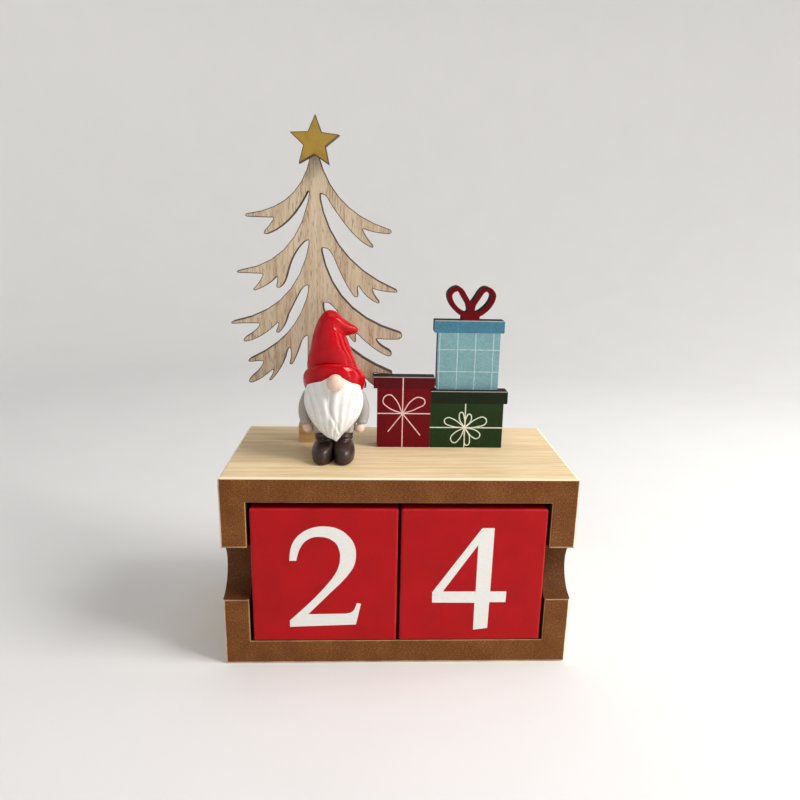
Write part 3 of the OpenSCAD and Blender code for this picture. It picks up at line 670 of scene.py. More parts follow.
# Numerals, in mm from the middle of a face; s is a smooth point and c a corner
NUMERALS = {
    "0": ["s0,19.4 s12.2,0 s0,-19.4 s-12.2,0", "s0,16.9 s7.2,0 s0,-16.9 s-7.2,0"],
    "1": ["c2.6,19 c1.2,19 s-3,16.3 c-8.6,13.6 c-8.4,12.2 s-4.2,13 c-2.6,11.6 c-2.6,-15.5 s-3.6,-17.6 "
          "c-8,-18.2 c-8,-19.5 c8,-19.5 c8,-18.2 s3.6,-17.6 c2.6,-15.5"],
    "2": ["c-11.9,6 s-11.6,9.4 s-10.5,12.9 s-8,16 s-4.2,18.1 s-0.4,18.7 s4.6,17.8 s8.1,15.2 s10.2,11.7 "
          "s10.7,8 s10,4 s8.2,0.9 s5.8,-2.1 s2.3,-5.8 c-5.8,-14.5 c7.6,-14.3 s9.6,-13.5 c11.1,-10.2 "
          "c12.5,-10.5 c10.8,-18.6 c-12.2,-19.4 c-12.2,-16.9 s-7.6,-12.4 s-3.3,-7.9 s0.6,-3.3 s2.9,-0.2 "
          "s4.6,3.2 s5.3,6.8 s5,10 s3.3,13.1 s-1.6,14.9 s-5.8,13.7 s-8.2,10.7 c-9.6,6"],
    "3": ["c-10.4,9.8 s-9.4,14.6 s-5,18 s0.6,19 s7,17.2 s9.8,11.4 s8.2,5.2 s3.6,1 s9.4,-2.6 s11.6,-8.4 "
          "s9,-15.8 s1,-19.6 s-7,-18.2 c-11.6,-13.4 c-9.6,-11.4 s-6.4,-15.2 s0,-17 s4.6,-14.6 s6.2,-9 "
          "s4.6,-3.6 s0,-1 c-4.4,-0.6 c-4.4,1.6 s0.4,2.6 s3.8,6 s4.6,10.8 s3,14.8 s-1,16.4 s-5.6,14.6 "
          "c-7.8,9.8"],
    "4": ["c2.6,18.2 c6.8,18.2 c6.5,-5.8 c12.2,-5.8 c12.1,-10 c6.4,-10 c6.2,-20.2 c1.2,-20.9 c1.2,-10.2 "
          "c-13.7,-10.1 c-13.8,-6.1", "c1.5,12 c-10.1,-5.8 c1.4,-5.8"],
    "5": ["c-8.6,18.6 c9.6,18.6 c9,14.2 c-5.6,14.2 c-6.4,4.6 s-0.6,6.2 s6.6,4.8 s11.6,-5.6 s8.8,-14.4 "
          "s1,-19.2 s-6.6,-18.4 c-11.6,-14.2 c-10.2,-11.8 s-5.4,-15.6 s0.2,-16.8 s5,-13.4 s6.2,-6.4 s4,0.4 "
          "s-1.4,2.8 s-6.4,1.6 c-9.8,-0.8"],
    "6": ["c9,19 s0.4,16.2 s-7.2,9.4 s-11.6,-1 s-11.8,-8.6 s-8.4,-16.6 s0,-19.6 s8.6,-16.4 s12,-7.6 s9.2,0.8 "
          "s2.4,4.4 s-3.2,3.4 c-6.2,1.4 s-4.2,7 s1.6,13 c9.6,17.2", "s0,2 s6.6,-7.4 s0.4,-17 s-6.6,-7.6"],
    "7": ["c-11.4,18.6 c11.8,18.6 c11.8,16.8 s3.4,-1.4 s-0.2,-12 c-1.4,-19.4 c-6.6,-19.4 s-4.4,-11 s0.6,-0.6 "
          "c7.4,14 c-8.4,14 s-9.8,13 c-10.4,9.6 c-11.8,9.6"],
    "8": ["s0,19.2 s9.2,10.8 s4.4,2.2 s11.4,-9 s0,-19.6 s-11.4,-9 s-4.4,2.2 s-9.2,10.8",
          "s0,16.6 s5,10.6 s0,4.4 s-5,10.6", "s0,0.4 s6.4,-8.8 s0,-17 s-6.4,-8.8"],
}
# Right and up on each face of a cube: front, right, back, left, top and bottom
FACES = [("X", "Z"), ("Y", "Z"), ("-X", "Z"), ("-Y", "Z"), ("X", "Y"), ("X", "-Y")]
AXES = {"X": (1, 0, 0), "-X": (-1, 0, 0), "Y": (0, 1, 0), "-Y": (0, -1, 0), "Z": (0, 0, 1)}
LEFT_DIGITS = "201678"
RIGHT_DIGITS = "401235"


def numeral(digit, relief):
    """Flat mesh of one numeral with the thickness of the ink."""
    curve = bpy.data.curves.new("numeral", "CURVE")
    curve.dimensions = "2D"
    curve.fill_mode = "BOTH"
    curve.extrude = relief / 2
    curve.resolution_u = 8
    for outline in NUMERALS[digit]:
        marks = outline.split()
        spline = curve.splines.new("BEZIER")
        spline.bezier_points.add(len(marks) - 1)
        spline.use_cyclic_u = True
        for point, mark in zip(spline.bezier_points, marks):
            x, y = (float(value) * MM for value in mark[1:].split(","))
            point.co = (x, y, 0)
            point.handle_left_type = point.handle_right_type = "AUTO" if mark[0] == "s" else "VECTOR"
    return evaluated(placed("numeral", curve))


def numerals(cube, digits, relief):
    """One mesh with the numerals of all six faces of a cube."""
    low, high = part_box(cube)
    middle = (low + high) / 2
    form = bmesh.new()
    for digit, (right, up) in zip(digits, FACES):
        x, y = Vector(AXES[right]), Vector(AXES[up])
        out = x.cross(y)
        reach = abs(out.dot((high - low) / 2)) + relief / 2
        turn = Matrix((x, y, out)).transposed().to_4x4()
        mesh = numeral(digit, relief)
        mesh.transform(Matrix.Translation(middle + out * reach) @ turn)
        form.from_mesh(mesh)
        bpy.data.meshes.remove(mesh)
    return baked(form, "numerals")


# Printed lines on the gifts, in mm: the knot, then the points of each loop from the knot and back to it
RED_KNOT = (1.6, 83.2)
RED_LOOPS = [[(-1.4, 89), (-3.6, 90.4), (-5.8, 88.1), (-3.9, 85.6)],
             [(4.9, 88.2), (7.7, 89.5), (9.9, 87.8), (6.7, 85.1)]]
RED_TAILS = [(-3.8, 76.1), (8.4, 74.7)]
GREEN_KNOT = (25.2, 77.9)
GREEN_LOOPS = [[(20.6, 81.3), (18.4, 81.7), (17.4, 80.3), (20.3, 78.4)],
               [(29.8, 81.5), (32.3, 82), (33.3, 80.1), (29.6, 78.2)],
               [(23, 81.8), (23.7, 83.9), (24.9, 81.8)],
               [(25.6, 81.7), (26.8, 83.2), (27.6, 81.3)],
               [(21.2, 75.6), (20, 73.4), (21.3, 71.9), (22.9, 72.9)],
               [(25.2, 73.9), (26.2, 70.9), (27.2, 73.9)],
               [(28, 74.4), (29.9, 73.6), (31.1, 74.9), (29.9, 76.6)]]
# Heights of the lids, and how far they stand out over the boxes
RED_LID, GREEN_LID, BLUE_LID = 4.4, 4.8, 4.6
LID_LIP = 1.4
# End of the red gift's upright ribbon under its top
RIBBON_GAP = 0.3
# First upright line of the check from the panel's left edge, and the lower level line over its foot
CHECK_LEFT = 2.1
CHECK_FOOT = 6.8
# Distance within which points of a CAD mesh are one, and height of a scorched line, in mm
WELD = 0.001
SCORCH_RELIEF = 0.03


def strokes(lines, loops):
    """Curve object with straight lines and with smooth loops, drawn in X and Z."""
    curve = bpy.data.curves.new("strokes", "CURVE")
    curve.dimensions = "3D"
    curve.resolution_u = 10
    for points in lines:
        spline = curve.splines.new("POLY")
        spline.points.add(len(points) - 1)
        for point, (x, z) in zip(spline.points, points):
            point.co = (x * MM, 0, z * MM, 1)
    for points in loops:
        spline = curve.splines.new("BEZIER")
        spline.bezier_points.add(len(points) - 1)
        for point, (x, z) in zip(spline.bezier_points, points):
            point.co = (x * MM, 0, z * MM)
            point.handle_left_type = point.handle_right_type = "AUTO"
    return placed("strokes", curve)


def node_tree(name, sizes):
    """Geometry node tree with its group input and one named input for each size."""
    tree = bpy.data.node_groups.new(name, "GeometryNodeTree")
    tree.interface.new_socket("Geometry", in_out="INPUT", socket_type="NodeSocketGeometry")
    identifiers = {}
    for label, kind in sizes.items():
        identifiers[label] = tree.interface.new_socket(label, in_out="INPUT", socket_type=kind).identifier
    tree.interface.new_socket("Geometry", in_out="OUTPUT", socket_type="NodeSocketGeometry")
    return tree, add(tree, "NodeGroupInput").outputs, identifiers


def close_tree(tree, geometry, material):
    """End a tree: real geometry with its material."""
    real = add(tree, "GeometryNodeRealizeInstances", {0: geometry})
    painted = add(tree, "GeometryNodeSetMaterial", {"Geometry": real, "Material": material})
    add(tree, "NodeGroupOutput", {0: painted})


def run_tree(source, tree, values):
    """Plain mesh that a tree makes from an object, with the tree's inputs set first."""
    modifier = source.modifiers.new(tree.name, "NODES")
    modifier.node_group = tree
    for identifier, value in values.items():
        modifier[identifier] = value
    mesh = evaluated(source)
    bpy.data.node_groups.remove(tree)
    return mesh


def flat_stroke(tree, curve, width, relief):
    """Nodes that sweep a curve into a flat bead of paint."""
    half = add(tree, "ShaderNodeMath", {0: width, 1: 0.5}, operation="MULTIPLY")
    profile = add(tree, "GeometryNodeCurvePrimitiveCircle", {"Resolution": 10, "Radius": half})
    tube = add(tree, "GeometryNodeCurveToMesh", {"Curve": curve, "Profile Curve": profile, "Fill Caps": True})
    flat = add(tree, "ShaderNodeMath", {0: relief, 1: half}, operation="DIVIDE")
    press = add(tree, "ShaderNodeCombineXYZ", {"X": 1, "Y": flat, "Z": 1})
    return add(tree, "GeometryNodeTransform", {"Geometry": tube, "Scale": press})


def ribbon_print(drawn, plane, material):
    """Mesh of the printed strokes on an upright plane."""
    gifts = settings("gifts")
    tree, given, keys = node_tree("printed_ribbon", {"Width": "NodeSocketFloat", "Relief": "NodeSocketFloat",
                                                     "Plane": "NodeSocketFloat"})
    bead = flat_stroke(tree, given["Geometry"], given["Width"], given["Relief"])
    at = add(tree, "ShaderNodeCombineXYZ", {"X": 0, "Y": given["Plane"], "Z": 0})
    laid = add(tree, "GeometryNodeTransform", {"Geometry": bead, "Translation": at})
    close_tree(tree, laid, material)
    return run_tree(drawn, tree, {keys["Width"]: gifts.line, keys["Relief"]: gifts.relief,
                                  keys["Plane"]: plane * MM})


def check_print(material):
    gifts = settings("gifts")
    low, high = BLUE_LOW * MM, BLUE_HIGH * MM
    top = high.z - BLUE_LID * MM
    left = low.x + CHECK_LEFT * MM
    foot = low.z + CHECK_FOOT * MM
    lip = LID_LIP * MM
    tree, given, keys = node_tree("printed_check", {"Width": "NodeSocketFloat", "Relief": "NodeSocketFloat",
                                                    "Count": "NodeSocketInt", "Pitch": "NodeSocketFloat",
                                                    "Rise": "NodeSocketFloat"})
    joined = add(tree, "GeometryNodeJoinGeometry")
    runs = [("Pitch", "X", (left, low.y, low.z), (left, low.y, top), given["Count"]),
            ("Rise", "Z", (low.x + lip, low.y, foot), (high.x - lip, low.y, foot), 2)]
    for step, axis, start, end, count in runs:
        span = Vector(end) - Vector(start)
        line = add(tree, "GeometryNodeCurvePrimitiveLine", {"Start": (0, 0, 0), "End": span})
        bead = flat_stroke(tree, line, given["Width"], given["Relief"])
        offset = add(tree, "ShaderNodeCombineXYZ", {axis: given[step]})
        row = add(tree, "GeometryNodeMeshLine", {"Count": count, "Start Location": start, "Offset": offset})
        copies = add(tree, "GeometryNodeInstanceOnPoints", {"Points": row, "Instance": bead})
        fill(tree, joined, {0: copies})
    close_tree(tree, joined, material)
    carrier = placed("check", bpy.data.meshes.new("check"))
    return run_tree(carrier, tree, {keys["Width"]: gifts.line, keys["Relief"]: gifts.relief,
                                    keys["Count"]: gifts.check_count, keys["Pitch"]: gifts.check_pitch,
                                    keys["Rise"]: gifts.check_rise})


def scorch_lines(node, width):
    """Thin ring along the edges of both flat faces of a laser-cut node."""
    form = bmesh.new()
    form.from_mesh(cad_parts[node].data)
    bmesh.ops.remove_doubles(form, verts=form.verts, dist=WELD * MM)
    form.normal_update()
    flat = [face for face in form.faces if abs(face.normal.y) > 0.9]
    kept = set(bmesh.ops.inset_region(form, faces=flat, thickness=width, use_even_offset=True)["faces"])
    bmesh.ops.delete(form, geom=[face for face in form.faces if face not in kept], context="FACES")
    bmesh.ops.solidify(form, geom=form.faces[:], thickness=-SCORCH_RELIEF * MM)
    bmesh.ops.recalc_face_normals(form, faces=form.faces)
    return baked(form, node)


# Gnome

# Points round the pieces of the gnome and along them
HAT_POINTS, HAT_STEPS, BRIM_STEPS = 96, 10, 4
BEARD_POINTS, BEARD_STEPS = 160, 100
COAT_POINTS, COAT_STEPS = 120, 10
NOSE_POINTS, NOSE_STEPS = 64, 40
SLEEVE_POINTS, SLEEVE_STEPS = 64, 6
HAND_POINTS, PALM_STEPS, THUMB_STEPS = 40, 6, 5
BOOT_POINTS, BOOT_STEPS = 80, 6
# Rolled brim from under its foot to the crease below the crown: height and half width, in shares of both
BRIM_ROLL = [(0.08, 0.34), (0, 0.4), (0.02, 0.43), (0.1, 0.457), (0.25, 0.48), (0.45, 0.494), (0.65, 0.5),
             (0.81, 0.495), (0.91, 0.482), (0.955, 0.462), (0.955, 0.444), (0.935, 0.432), (0.95, 0.424)]
# Depth of the brim as a share of its width
BRIM_DEEP = 1.06
# Left and right edge of the crown and half its depth, in shares of its width and height
HAT_BEND = [(-0.54, 0.33, 0.44, 0.35, 0.49), (-0.455, 0.58, 0.33, 0.54, 0.41),
            (-0.4, 0.72, 0.27, 0.645, 0.36), (-0.315, 0.86, 0.24, 0.67, 0.32),
            (-0.19, 0.965, 0.24, 0.675, 0.28), (-0.08, 0.99, 0.245, 0.68, 0.25),
            (0.05, 0.97, 0.26, 0.68, 0.22), (0.19, 0.895, 0.31, 0.69, 0.17),
            (0.34, 0.83, 0.375, 0.7, 0.11), (0.44, 0.795, 0.435, 0.71, 0.07),
            (0.485, 0.76, 0.475, 0.73, 0.03)]
# Middle of the crown behind the gnome's, at its foot and at its top, in mm
CROWN_FOOT_Y = 1.9
CROWN_Y = 1
# Row of the bend at which the tip folds over
FOLD_ROW = 4.9
# Plane that parts the beard from the coat, and the middle of the nose, in mm
PART_Y = -4.6
NOSE_X = 1.1
# Left and right edge of the beard in shares of half its width, from the brim to the tip
BEARD_EDGES = [(0, -0.87, 0.9), (0.1, -0.93, 0.95), (0.25, -0.96, 0.99), (0.4, -0.93, 0.97),
               (0.55, -0.84, 0.88), (0.65, -0.74, 0.77), (0.75, -0.6, 0.62), (0.83, -0.46, 0.47),
               (0.9, -0.31, 0.33), (0.94, -0.2, 0.26), (0.955, -0.08, 0.23), (1, 0.08, 0.15)]
# Where the parting runs across the beard, from -1 at its left edge to 1, on the way to the tip
PARTING = [(0, -0.15), (0.35, -0.17), (0.48, -0.18), (0.58, -0.1), (0.7, 0.07), (0.82, 0.38), (0.92, 0.7),
           (1, 0.8)]
# Coat from the hem to the brim: share of its height and of its width
COAT_SIDES = [(0, 1), (0.4, 1.01), (0.65, 0.97), (0.85, 0.85), (1, 0.68)]
# Right sleeve: right and back of the shoulder in shares of its diameter, height, and radius
SLEEVE = [(-0.34, 0.04, 1, 0.76), (-0.16, 0.02, 0.82, 0.92), (-0.01, -0.04, 0.62, 1.02), (0, -0.15, 0.4, 1)]
# Cuff: distance over the wrist in shares of the sleeve's diameter, and radius
CUFF = [(0.36, 0.9), (0.31, 0.83), (0.28, 0.84), (0.26, 0.88), (0.18, 0.89), (0.09, 0.84), (0.03, 0.72),
        (0, 0.54)]
# Right hand: distance under the wrist, inwards, and radius; then the way along the thumb and its radius
PALM = [(0, 0.06, 0.75), (0.22, 0.14, 1), (0.5, 0.25, 1.04), (0.76, 0.32, 0.76), (0.9, 0.35, 0.3)]
THUMB = [(0, 0.2), (0.6, 0.2), (1, 0.16), (1.25, 0.06)]
# Boot from the sole to the top of the shaft: share of its height, width and length
BOOT_ROWS = [(0, 0.84, 0.93), (0.02, 0.91, 0.97), (0.07, 0.97, 1), (0.3, 1, 1), (0.45, 0.98, 0.97),
             (0.56, 0.93, 0.9), (0.635, 0.86, 0.78), (0.675, 0.82, 0.66), (0.705, 0.84, 0.6),
             (0.75, 0.9, 0.575), (0.79, 0.89, 0.57), (0.82, 0.86, 0.56), (0.88, 0.9, 0.57),
             (0.94, 0.87, 0.56), (1, 0.86, 0.55)]
BOOT_H = 9.4


def brim_at(y, gnome):
    """Height of the brim's foot at y, away from its arch, in millimetres over the lid."""
    return gnome.brim_foot / MM - math.tan(gnome.brim_tilt) * y


def arch_at(x, y, gnome):
    """Rise of the arch over the nose."""
    share = (x - NOSE_X) / (gnome.arch_width / MM) + 0.5
    if y > PART_Y or not 0 < share < 1:
        return 0
    return gnome.arch_height / MM * math.sin(math.pi * share) ** 2


def swell(value, middle, width):
    """Smooth bump of height 1."""
    return math.exp(-((value - middle) / width) ** 2)


def clamp(value):
    """The value within 0 and 1."""
    return min(1, max(0, value))


def hat_mesh(gnome):
    """Bent hat with a rolled brim that arches over the nose, and a tip that folds over to the right."""
    tilt = gnome.brim_tilt
    brim_w, brim_h = gnome.brim_width / MM, gnome.brim_height / MM
    hat_w, hat_h, foot = gnome.hat_width / MM, gnome.hat_height / MM, gnome.brim_foot / MM
    up = Vector((0, math.sin(tilt), math.cos(tilt)))
    back = Vector((0, math.cos(tilt), -math.sin(tilt)))
    rings = []
    for rise, half in through(BRIM_ROLL, BRIM_STEPS):
        wide = half * brim_w
        middle = Vector((0, 0, foot)) + up * rise * brim_h
        points = ring(middle, (wide, 0, 0), back * wide * BRIM_DEEP, HAT_POINTS)
        fade = max(0, 1 - rise / 0.8) * math.cos(tilt)
        rings.append([p + up * fade * arch_at(p.x, p.y, gnome) for p in points])
    # The crown starts in the crease, then follows the bend
    half = BRIM_ROLL[-1][1] * brim_w
    start = up * BRIM_ROLL[-1][0] * brim_h
    rows = [(-half, foot + start.z, half, foot + start.z, half * BRIM_DEEP, tilt, start.y)]
    for i, (ax, az, bx, bz, deep) in enumerate(HAT_BEND):
        rows.append((ax * hat_w, foot + az * hat_h, bx * hat_w, foot + bz * hat_h, deep * hat_w,
                     tilt / (1 + 2 * i), CROWN_Y + (CROWN_FOOT_Y - CROWN_Y) / 2 ** i))
    for k, (ax, az, bx, bz, deep, lean, y) in enumerate(through(rows, HAT_STEPS)[1:], 1):
        row = k / HAT_STEPS
        fold = clamp((row - FOLD_ROW + 0.5) / 0.8) * min(1, (len(rows) - 1 - row) / 3)
        points = []
        for a in turns(HAT_POINTS):
            across, out = math.cos(a), math.sin(a)
            # In front, the tip has a ridge near its upper side and falls back under it
            if out < 0:
                under = clamp((across + 0.3) / 1.2)
                out *= 1 + fold * (0.08 * swell(across, -0.5, 0.25) - 0.3 * under * under * (3 - 2 * under))
            points.append(((ax + bx) / 2 + (bx - ax) / 2 * across, y + deep * math.cos(lean) * out,
                           (az + bz) / 2 + (bz - az) / 2 * across - deep * math.sin(lean) * out))
        rings.append(points)
    return loft(rings)


def beard_mesh(gnome):
    """Beard with strand grooves that run to its tip, and a left half that laps over the right one."""
    wide, depth, foot = gnome.beard_width / 2 / MM, gnome.beard_depth / MM, gnome.beard_foot / MM
    seam = gnome.seam / MM
    rings, grooves = [], []
    for k in range(BEARD_STEPS + 1):
        t = k / BEARD_STEPS
        left, right = table_at(BEARD_EDGES, t)
        parting = table_at(PARTING, t)[0]
        lift = 0.5 * depth * t ** 4
        deep = max(depth * (0.68 + 0.85 * t - 1.37 * t ** 4), 0.8)
        fade = min(1, 6 * (1 - t)) * min(1, 0.3 + 3 * t)
        points, marks = [], []
        for i in range(BEARD_POINTS + 1):
            a = math.pi * i / BEARD_POINTS
            across = math.cos(a)
            gap = across - parting
            lap = 0.3 * swell(gap, -0.08, 0.16) - 0.45 * swell(gap, 0.05, 0.08)
            sweep = a + 0.3 * math.sin(3 * t) * (1 if gap < 0 else -1)
            strand = math.cos(20 * sweep + 2 * t) + 0.6 * math.cos(11 * sweep - 3 * t + 1)
            push = fade * (lap * clamp(5 * t - 1) + 0.16 * strand)
            y = PART_Y - seam / 2 - lift - (deep - 0.2 + push) * math.sin(a)
            x = wide * (left + right) / 2 + wide * (right - left) / 2 * across
            top = brim_at(y, gnome) + arch_at(x, y, gnome) - seam
            points.append((x, y, (1 - t) * top + t * foot))
            # Grey painted shade where the surface sinks: in the strand grooves and beside the parting
            marks.append(clamp(-fade * (0.9 * lap + 0.28 * strand)))
        rings.append(points)
        grooves.append(marks)
    return loft(rings, grooves)


def nose_mesh(gnome):
    """Round nose, a little fuller below."""
    size = gnome.nose / MM
    y = PART_Y - 0.9 * gnome.beard_depth / MM
    z = brim_at(y, gnome) + gnome.arch_height / MM - 0.55 * size
    rings = []
    for k in range(1, NOSE_STEPS):
        a = math.pi * k / NOSE_STEPS
        half = size / 2 * math.sin(a) * (1 - 0.06 * math.cos(a))
        middle = (NOSE_X, y, z + size / 2 * math.cos(a))
        rings.append(ring(middle, (half, 0, 0), (0, half, 0), NOSE_POINTS))
    return loft(rings)


def coat_mesh(gnome):
    """Coat with soft upright folds and a flat front behind the beard."""
    wide, depth, seam = gnome.coat_width / 2 / MM, gnome.coat_depth / MM, gnome.seam / MM
    hem = BOOT_H + seam
    back = 0.62 * depth
    rings = []
    for t, share in through(COAT_SIDES, COAT_STEPS):
        points = []
        for a in turns(COAT_POINTS):
            fold = 1 + 0.012 * (1 - t) * math.cos(14 * a)
            y = max(PART_Y + seam / 2, PART_Y + depth + back * (share * fold * math.sin(a) - 1))
            z = (1 - t) * hem + t * (brim_at(y, gnome) - seam)
            points.append((wide * share * fold * math.cos(a), y, z))
        rings.append(points)
    return loft(rings)


def limb_rings(rows, count):
    """Rings square to a path, whose rows have a point and a radius."""
    rings = []
    last = len(rows) - 1
    for i, (*point, radius) in enumerate(rows):
        way = Vector(rows[min(i + 1, last)][:3]) - Vector(rows[max(i - 1, 0)][:3])
        v = way.cross(Vector((1, 0, 0))).normalized()
        u = v.cross(way).normalized()
        rings.append(ring(point, u * radius, v * radius, count))
    return rings


def arm_rows(gnome):
    """Path and radius of the right sleeve, and the wrist."""
    seam, thick = gnome.seam / MM, gnome.sleeve / MM
    hem = BOOT_H + seam
    tall = gnome.brim_foot / MM - hem
    x = gnome.coat_width / 2 / MM + thick / 2 + 2 * seam
    wrist = Vector((x - 0.06 * thick, -0.38 * thick, hem + 0.18 * tall))
    rows = [(x + out * thick, behind * thick, hem + rise * tall, size * thick / 2)
            for out, behind, rise, size in SLEEVE]
    rows += [(*(wrist + Vector((0, 0.3, 1)) * over * thick), size * thick / 2) for over, size in CUFF]
    return rows, wrist


def sleeve_mesh(gnome, side):
    """Sleeve with a turned-back cuff, cut off under the brim."""
    rings = limb_rings(through(arm_rows(gnome)[0], SLEEVE_STEPS), SLEEVE_POINTS)
    seam = gnome.seam / MM
    return loft([[(side * p.x, p.y, min(p.z, brim_at(p.y, gnome) - seam)) for p in points]
                 for points in rings])


def hand_mesh(gnome, side):
    """Mitten hand with a thumb, blended into one skin."""
    wrist = arm_rows(gnome)[1]
    size, seam = gnome.hand / MM, gnome.seam / MM
    palm = [(*(wrist - Vector((inward * size, 0.3 * down * size, seam + down * size))), half * size / 2)
            for down, inward, half in PALM]
    start = wrist - Vector((0.2, 0.25, 0.2)) * size
    thumb = [(*(start - Vector((0.1, 0.28, 0.36)) * size * far), size * half) for far, half in THUMB]
    form = bmesh.new()
    for rows, steps in ((palm, PALM_STEPS), (thumb, THUMB_STEPS)):
        rings = limb_rings(through(rows, steps), HAND_POINTS)
        mesh = loft([[(side * p.x, p.y, p.z) for p in points] for points in rings])
        form.from_mesh(mesh)
        bpy.data.meshes.remove(mesh)
    source = placed("hand", baked(form, "hand"))
    remesh = source.modifiers.new("one_skin", "REMESH")
    remesh.mode = "VOXEL"
    remesh.voxel_size = 0.12 * MM
    soften = source.modifiers.new("soften", "SMOOTH")
    soften.iterations = 6
    return evaluated(source)


def boot_mesh(gnome, side):
    """Boot with a round toe cap and two creases round the shaft."""
    low, high = (corner / MM for corner in (LEFT_BOOT if side < 0 else RIGHT_BOOT))
    half_w = (high.x - low.x) / 2
    long = (high.y - low.y) / 2
    middle = (low.x + high.x) / 2 - GNOME_AT.x / MM
    rings = []
    for rise, width, reach in through(BOOT_ROWS, BOOT_STEPS):
        # The shafts lean together, so that the boots touch up to the hem
        x = middle - side * ((1 - width) * half_w + gnome.seam / MM / 2)
        y = HEEL_Y - reach * long
        points = ring((x, y, rise * BOOT_H), (width * half_w, 0, 0), (0, reach * long, 0), BOOT_POINTS)
        for p in points:
            crease = swell(rise, 0.8 + 0.03 * math.sin(2 * p.x), 0.025)
            front = max(0, -(p.y - (HEEL_Y - 0.6 * long)) / long)
            p.y += 0.5 * crease * front
        rings.append(points)
    return loft(rings)


# Stage

# Soft lights: name, place and size in metres, power in watts, and colour
LIGHTS = [("key", (0.6, -0.2, 0.6), (0.34, 0.34), 6, "fffdfa"),
          ("near_window", (0.53, -0.34, 0.36), (0.05, 0.6), 0.6, "ffffff"),
          ("far_window", (0.62, 0.08, 0.36), (0.06, 0.6), 0.5, "ffffff"),
          ("fill", (-0.45, -0.5, 0.4), (0.6, 0.6), 0.2, "f4f7ff"),
          ("top", (0.05, 0.1, 0.75), (0.5, 0.5), 0.7, "ffffff")]
# Floor, in metres: radius of its flat part, of its sweep, height of its wall, and drop under the object
FLOOR_FLAT, FLOOR_SWEEP, FLOOR_WALL, FLOOR_DROP = 0.5, 0.4, 0.9, 0.00005
FLOOR_POINTS, SWEEP_STEPS = 120, 15


def floor_mesh():
    """Flat floor that sweeps up into a low round wall."""
    profile = [(0.02, 0), (0.2, 0)]
    for k in range(SWEEP_STEPS + 1):
        a = math.pi / 2 * k / SWEEP_STEPS
        profile.append((FLOOR_FLAT + FLOOR_SWEEP * math.sin(a), FLOOR_SWEEP * (1 - math.cos(a))))
    profile.append((FLOOR_FLAT + FLOOR_SWEEP, FLOOR_WALL))
    form = bmesh.new()
    rows = [[form.verts.new(p) for p in ring((0, 0, z - FLOOR_DROP), (r, 0, 0), (0, r, 0), FLOOR_POINTS)]
            for r, z in profile]
    for low, high in zip(rows, rows[1:]):
        for i in range(FLOOR_POINTS):
            j = (i + 1) % FLOOR_POINTS
            form.faces.new((low[i], high[i], high[j], low[j]))
    form.faces.new(rows[0])
    mesh = baked(form, "floor")
    for polygon in mesh.polygons:
        polygon.use_smooth = True
    return mesh


def light(name, at, size, power, tint):
    """Soft light of this width and height that looks at the middle of the object."""
    lamp = bpy.data.lights.new(name, "AREA")
    lamp.shape = "RECTANGLE"
    lamp.size, lamp.size_y = size
    lamp.energy = power
    lamp.color = linear(tint)
    made = placed(name, lamp)
    made.location = at
    middle = (CAD_BOX[0] + CAD_BOX[1]) / 2
    made.rotation_mode = "QUATERNION"
    made.rotation_quaternion = (middle - Vector(at)).to_track_quat("-Z", "Y")


def camera(stage):
    """Camera at its place, turned, tilted down and rolled."""
    data = bpy.data.cameras.new("camera")
    data.sensor_width = SENSOR
    data.lens = stage.lens
    data.clip_start = 0.005
    level = Vector((math.cos(stage.yaw), -math.sin(stage.yaw), 0))
    forward = Vector((math.sin(stage.yaw), math.cos(stage.yaw), 0))
    ahead = forward * math.cos(stage.pitch) - Vector((0, 0, math.sin(stage.pitch)))
    up = level.cross(ahead)
    right = level * math.cos(stage.roll) + up * math.sin(stage.roll)
    over = up * math.cos(stage.roll) - level * math.sin(stage.roll)
    turn = Matrix((right, over, -ahead)).transposed().to_4x4()
    made = placed("camera", data)
    made.matrix_world = Matrix.Translation(stage.camera_at) @ turn
    return made


# Operators


class CALENDAR_OT_case(bpy.types.Operator):
    """Finish the boards of the case, with the grain along each board."""

    bl_idname = "calendar.case"
    bl_label = "Case boards"

    def execute(self, context):
        level = veneered_fibreboard("beech_veneer_level", 0)
        upright = veneered_fibreboard("beech_veneer_upright", 2)
        for node in ("top_board", "bottom_board", "back_board"):
            finish(node, level)
        for node in ("left_board", "right_board"):
            finish(node, upright)
        return {"FINISHED"}


class CALENDAR_OT_fixings(bpy.types.Operator):
    """Finish the brads of the mitres and the pins under the figures."""

    bl_idname = "calendar.fixings"
    bl_label = "Brads and pins"

    def execute(self, context):
        steel = bright_steel()
        for node in ("corner_brads", "fixing_pins"):
            finish(node, steel)
        return {"FINISHED"}


class CALENDAR_OT_cubes(bpy.types.Operator):
    """Paint the number cubes and print their numerals."""

    bl_idname = "calendar.cubes"
    bl_label = "Number cubes"

    def execute(self, context):
        relief = settings("cubes").print_relief
        paint = cube_paint()
        ink = numeral_ink()
        for cube, digits in (("left_cube", LEFT_DIGITS), ("right_cube", RIGHT_DIGITS)):
            finish(cube, paint)
            piece(cube + "_numerals", numerals(cube, digits, relief), ink, cube, "cube_paint", smooth=False)
        return {"FINISHED"}


class CALENDAR_OT_tree(bpy.types.Operator):
    """Finish the tree, its star and its foot, and scorch the edges that the laser has cut."""

    bl_idname = "calendar.tree"
    bl_label = "Tree and star"

    def execute(self, context):
        finish("tree_panel", laser_cut_ply())
        finish("tree_star", gold_star_paint())
        finish("tree_foot", foot_wood())
        width = settings("tree").scorch
        burnt = scorched_wood()
        piece("tree_scorch", scorch_lines("tree_panel", width), burnt, "case", "tree_ply", smooth=False)
        piece("star_scorch", scorch_lines("tree_star", width), burnt, "case", "star_gold", smooth=False)
        return {"FINISHED"}


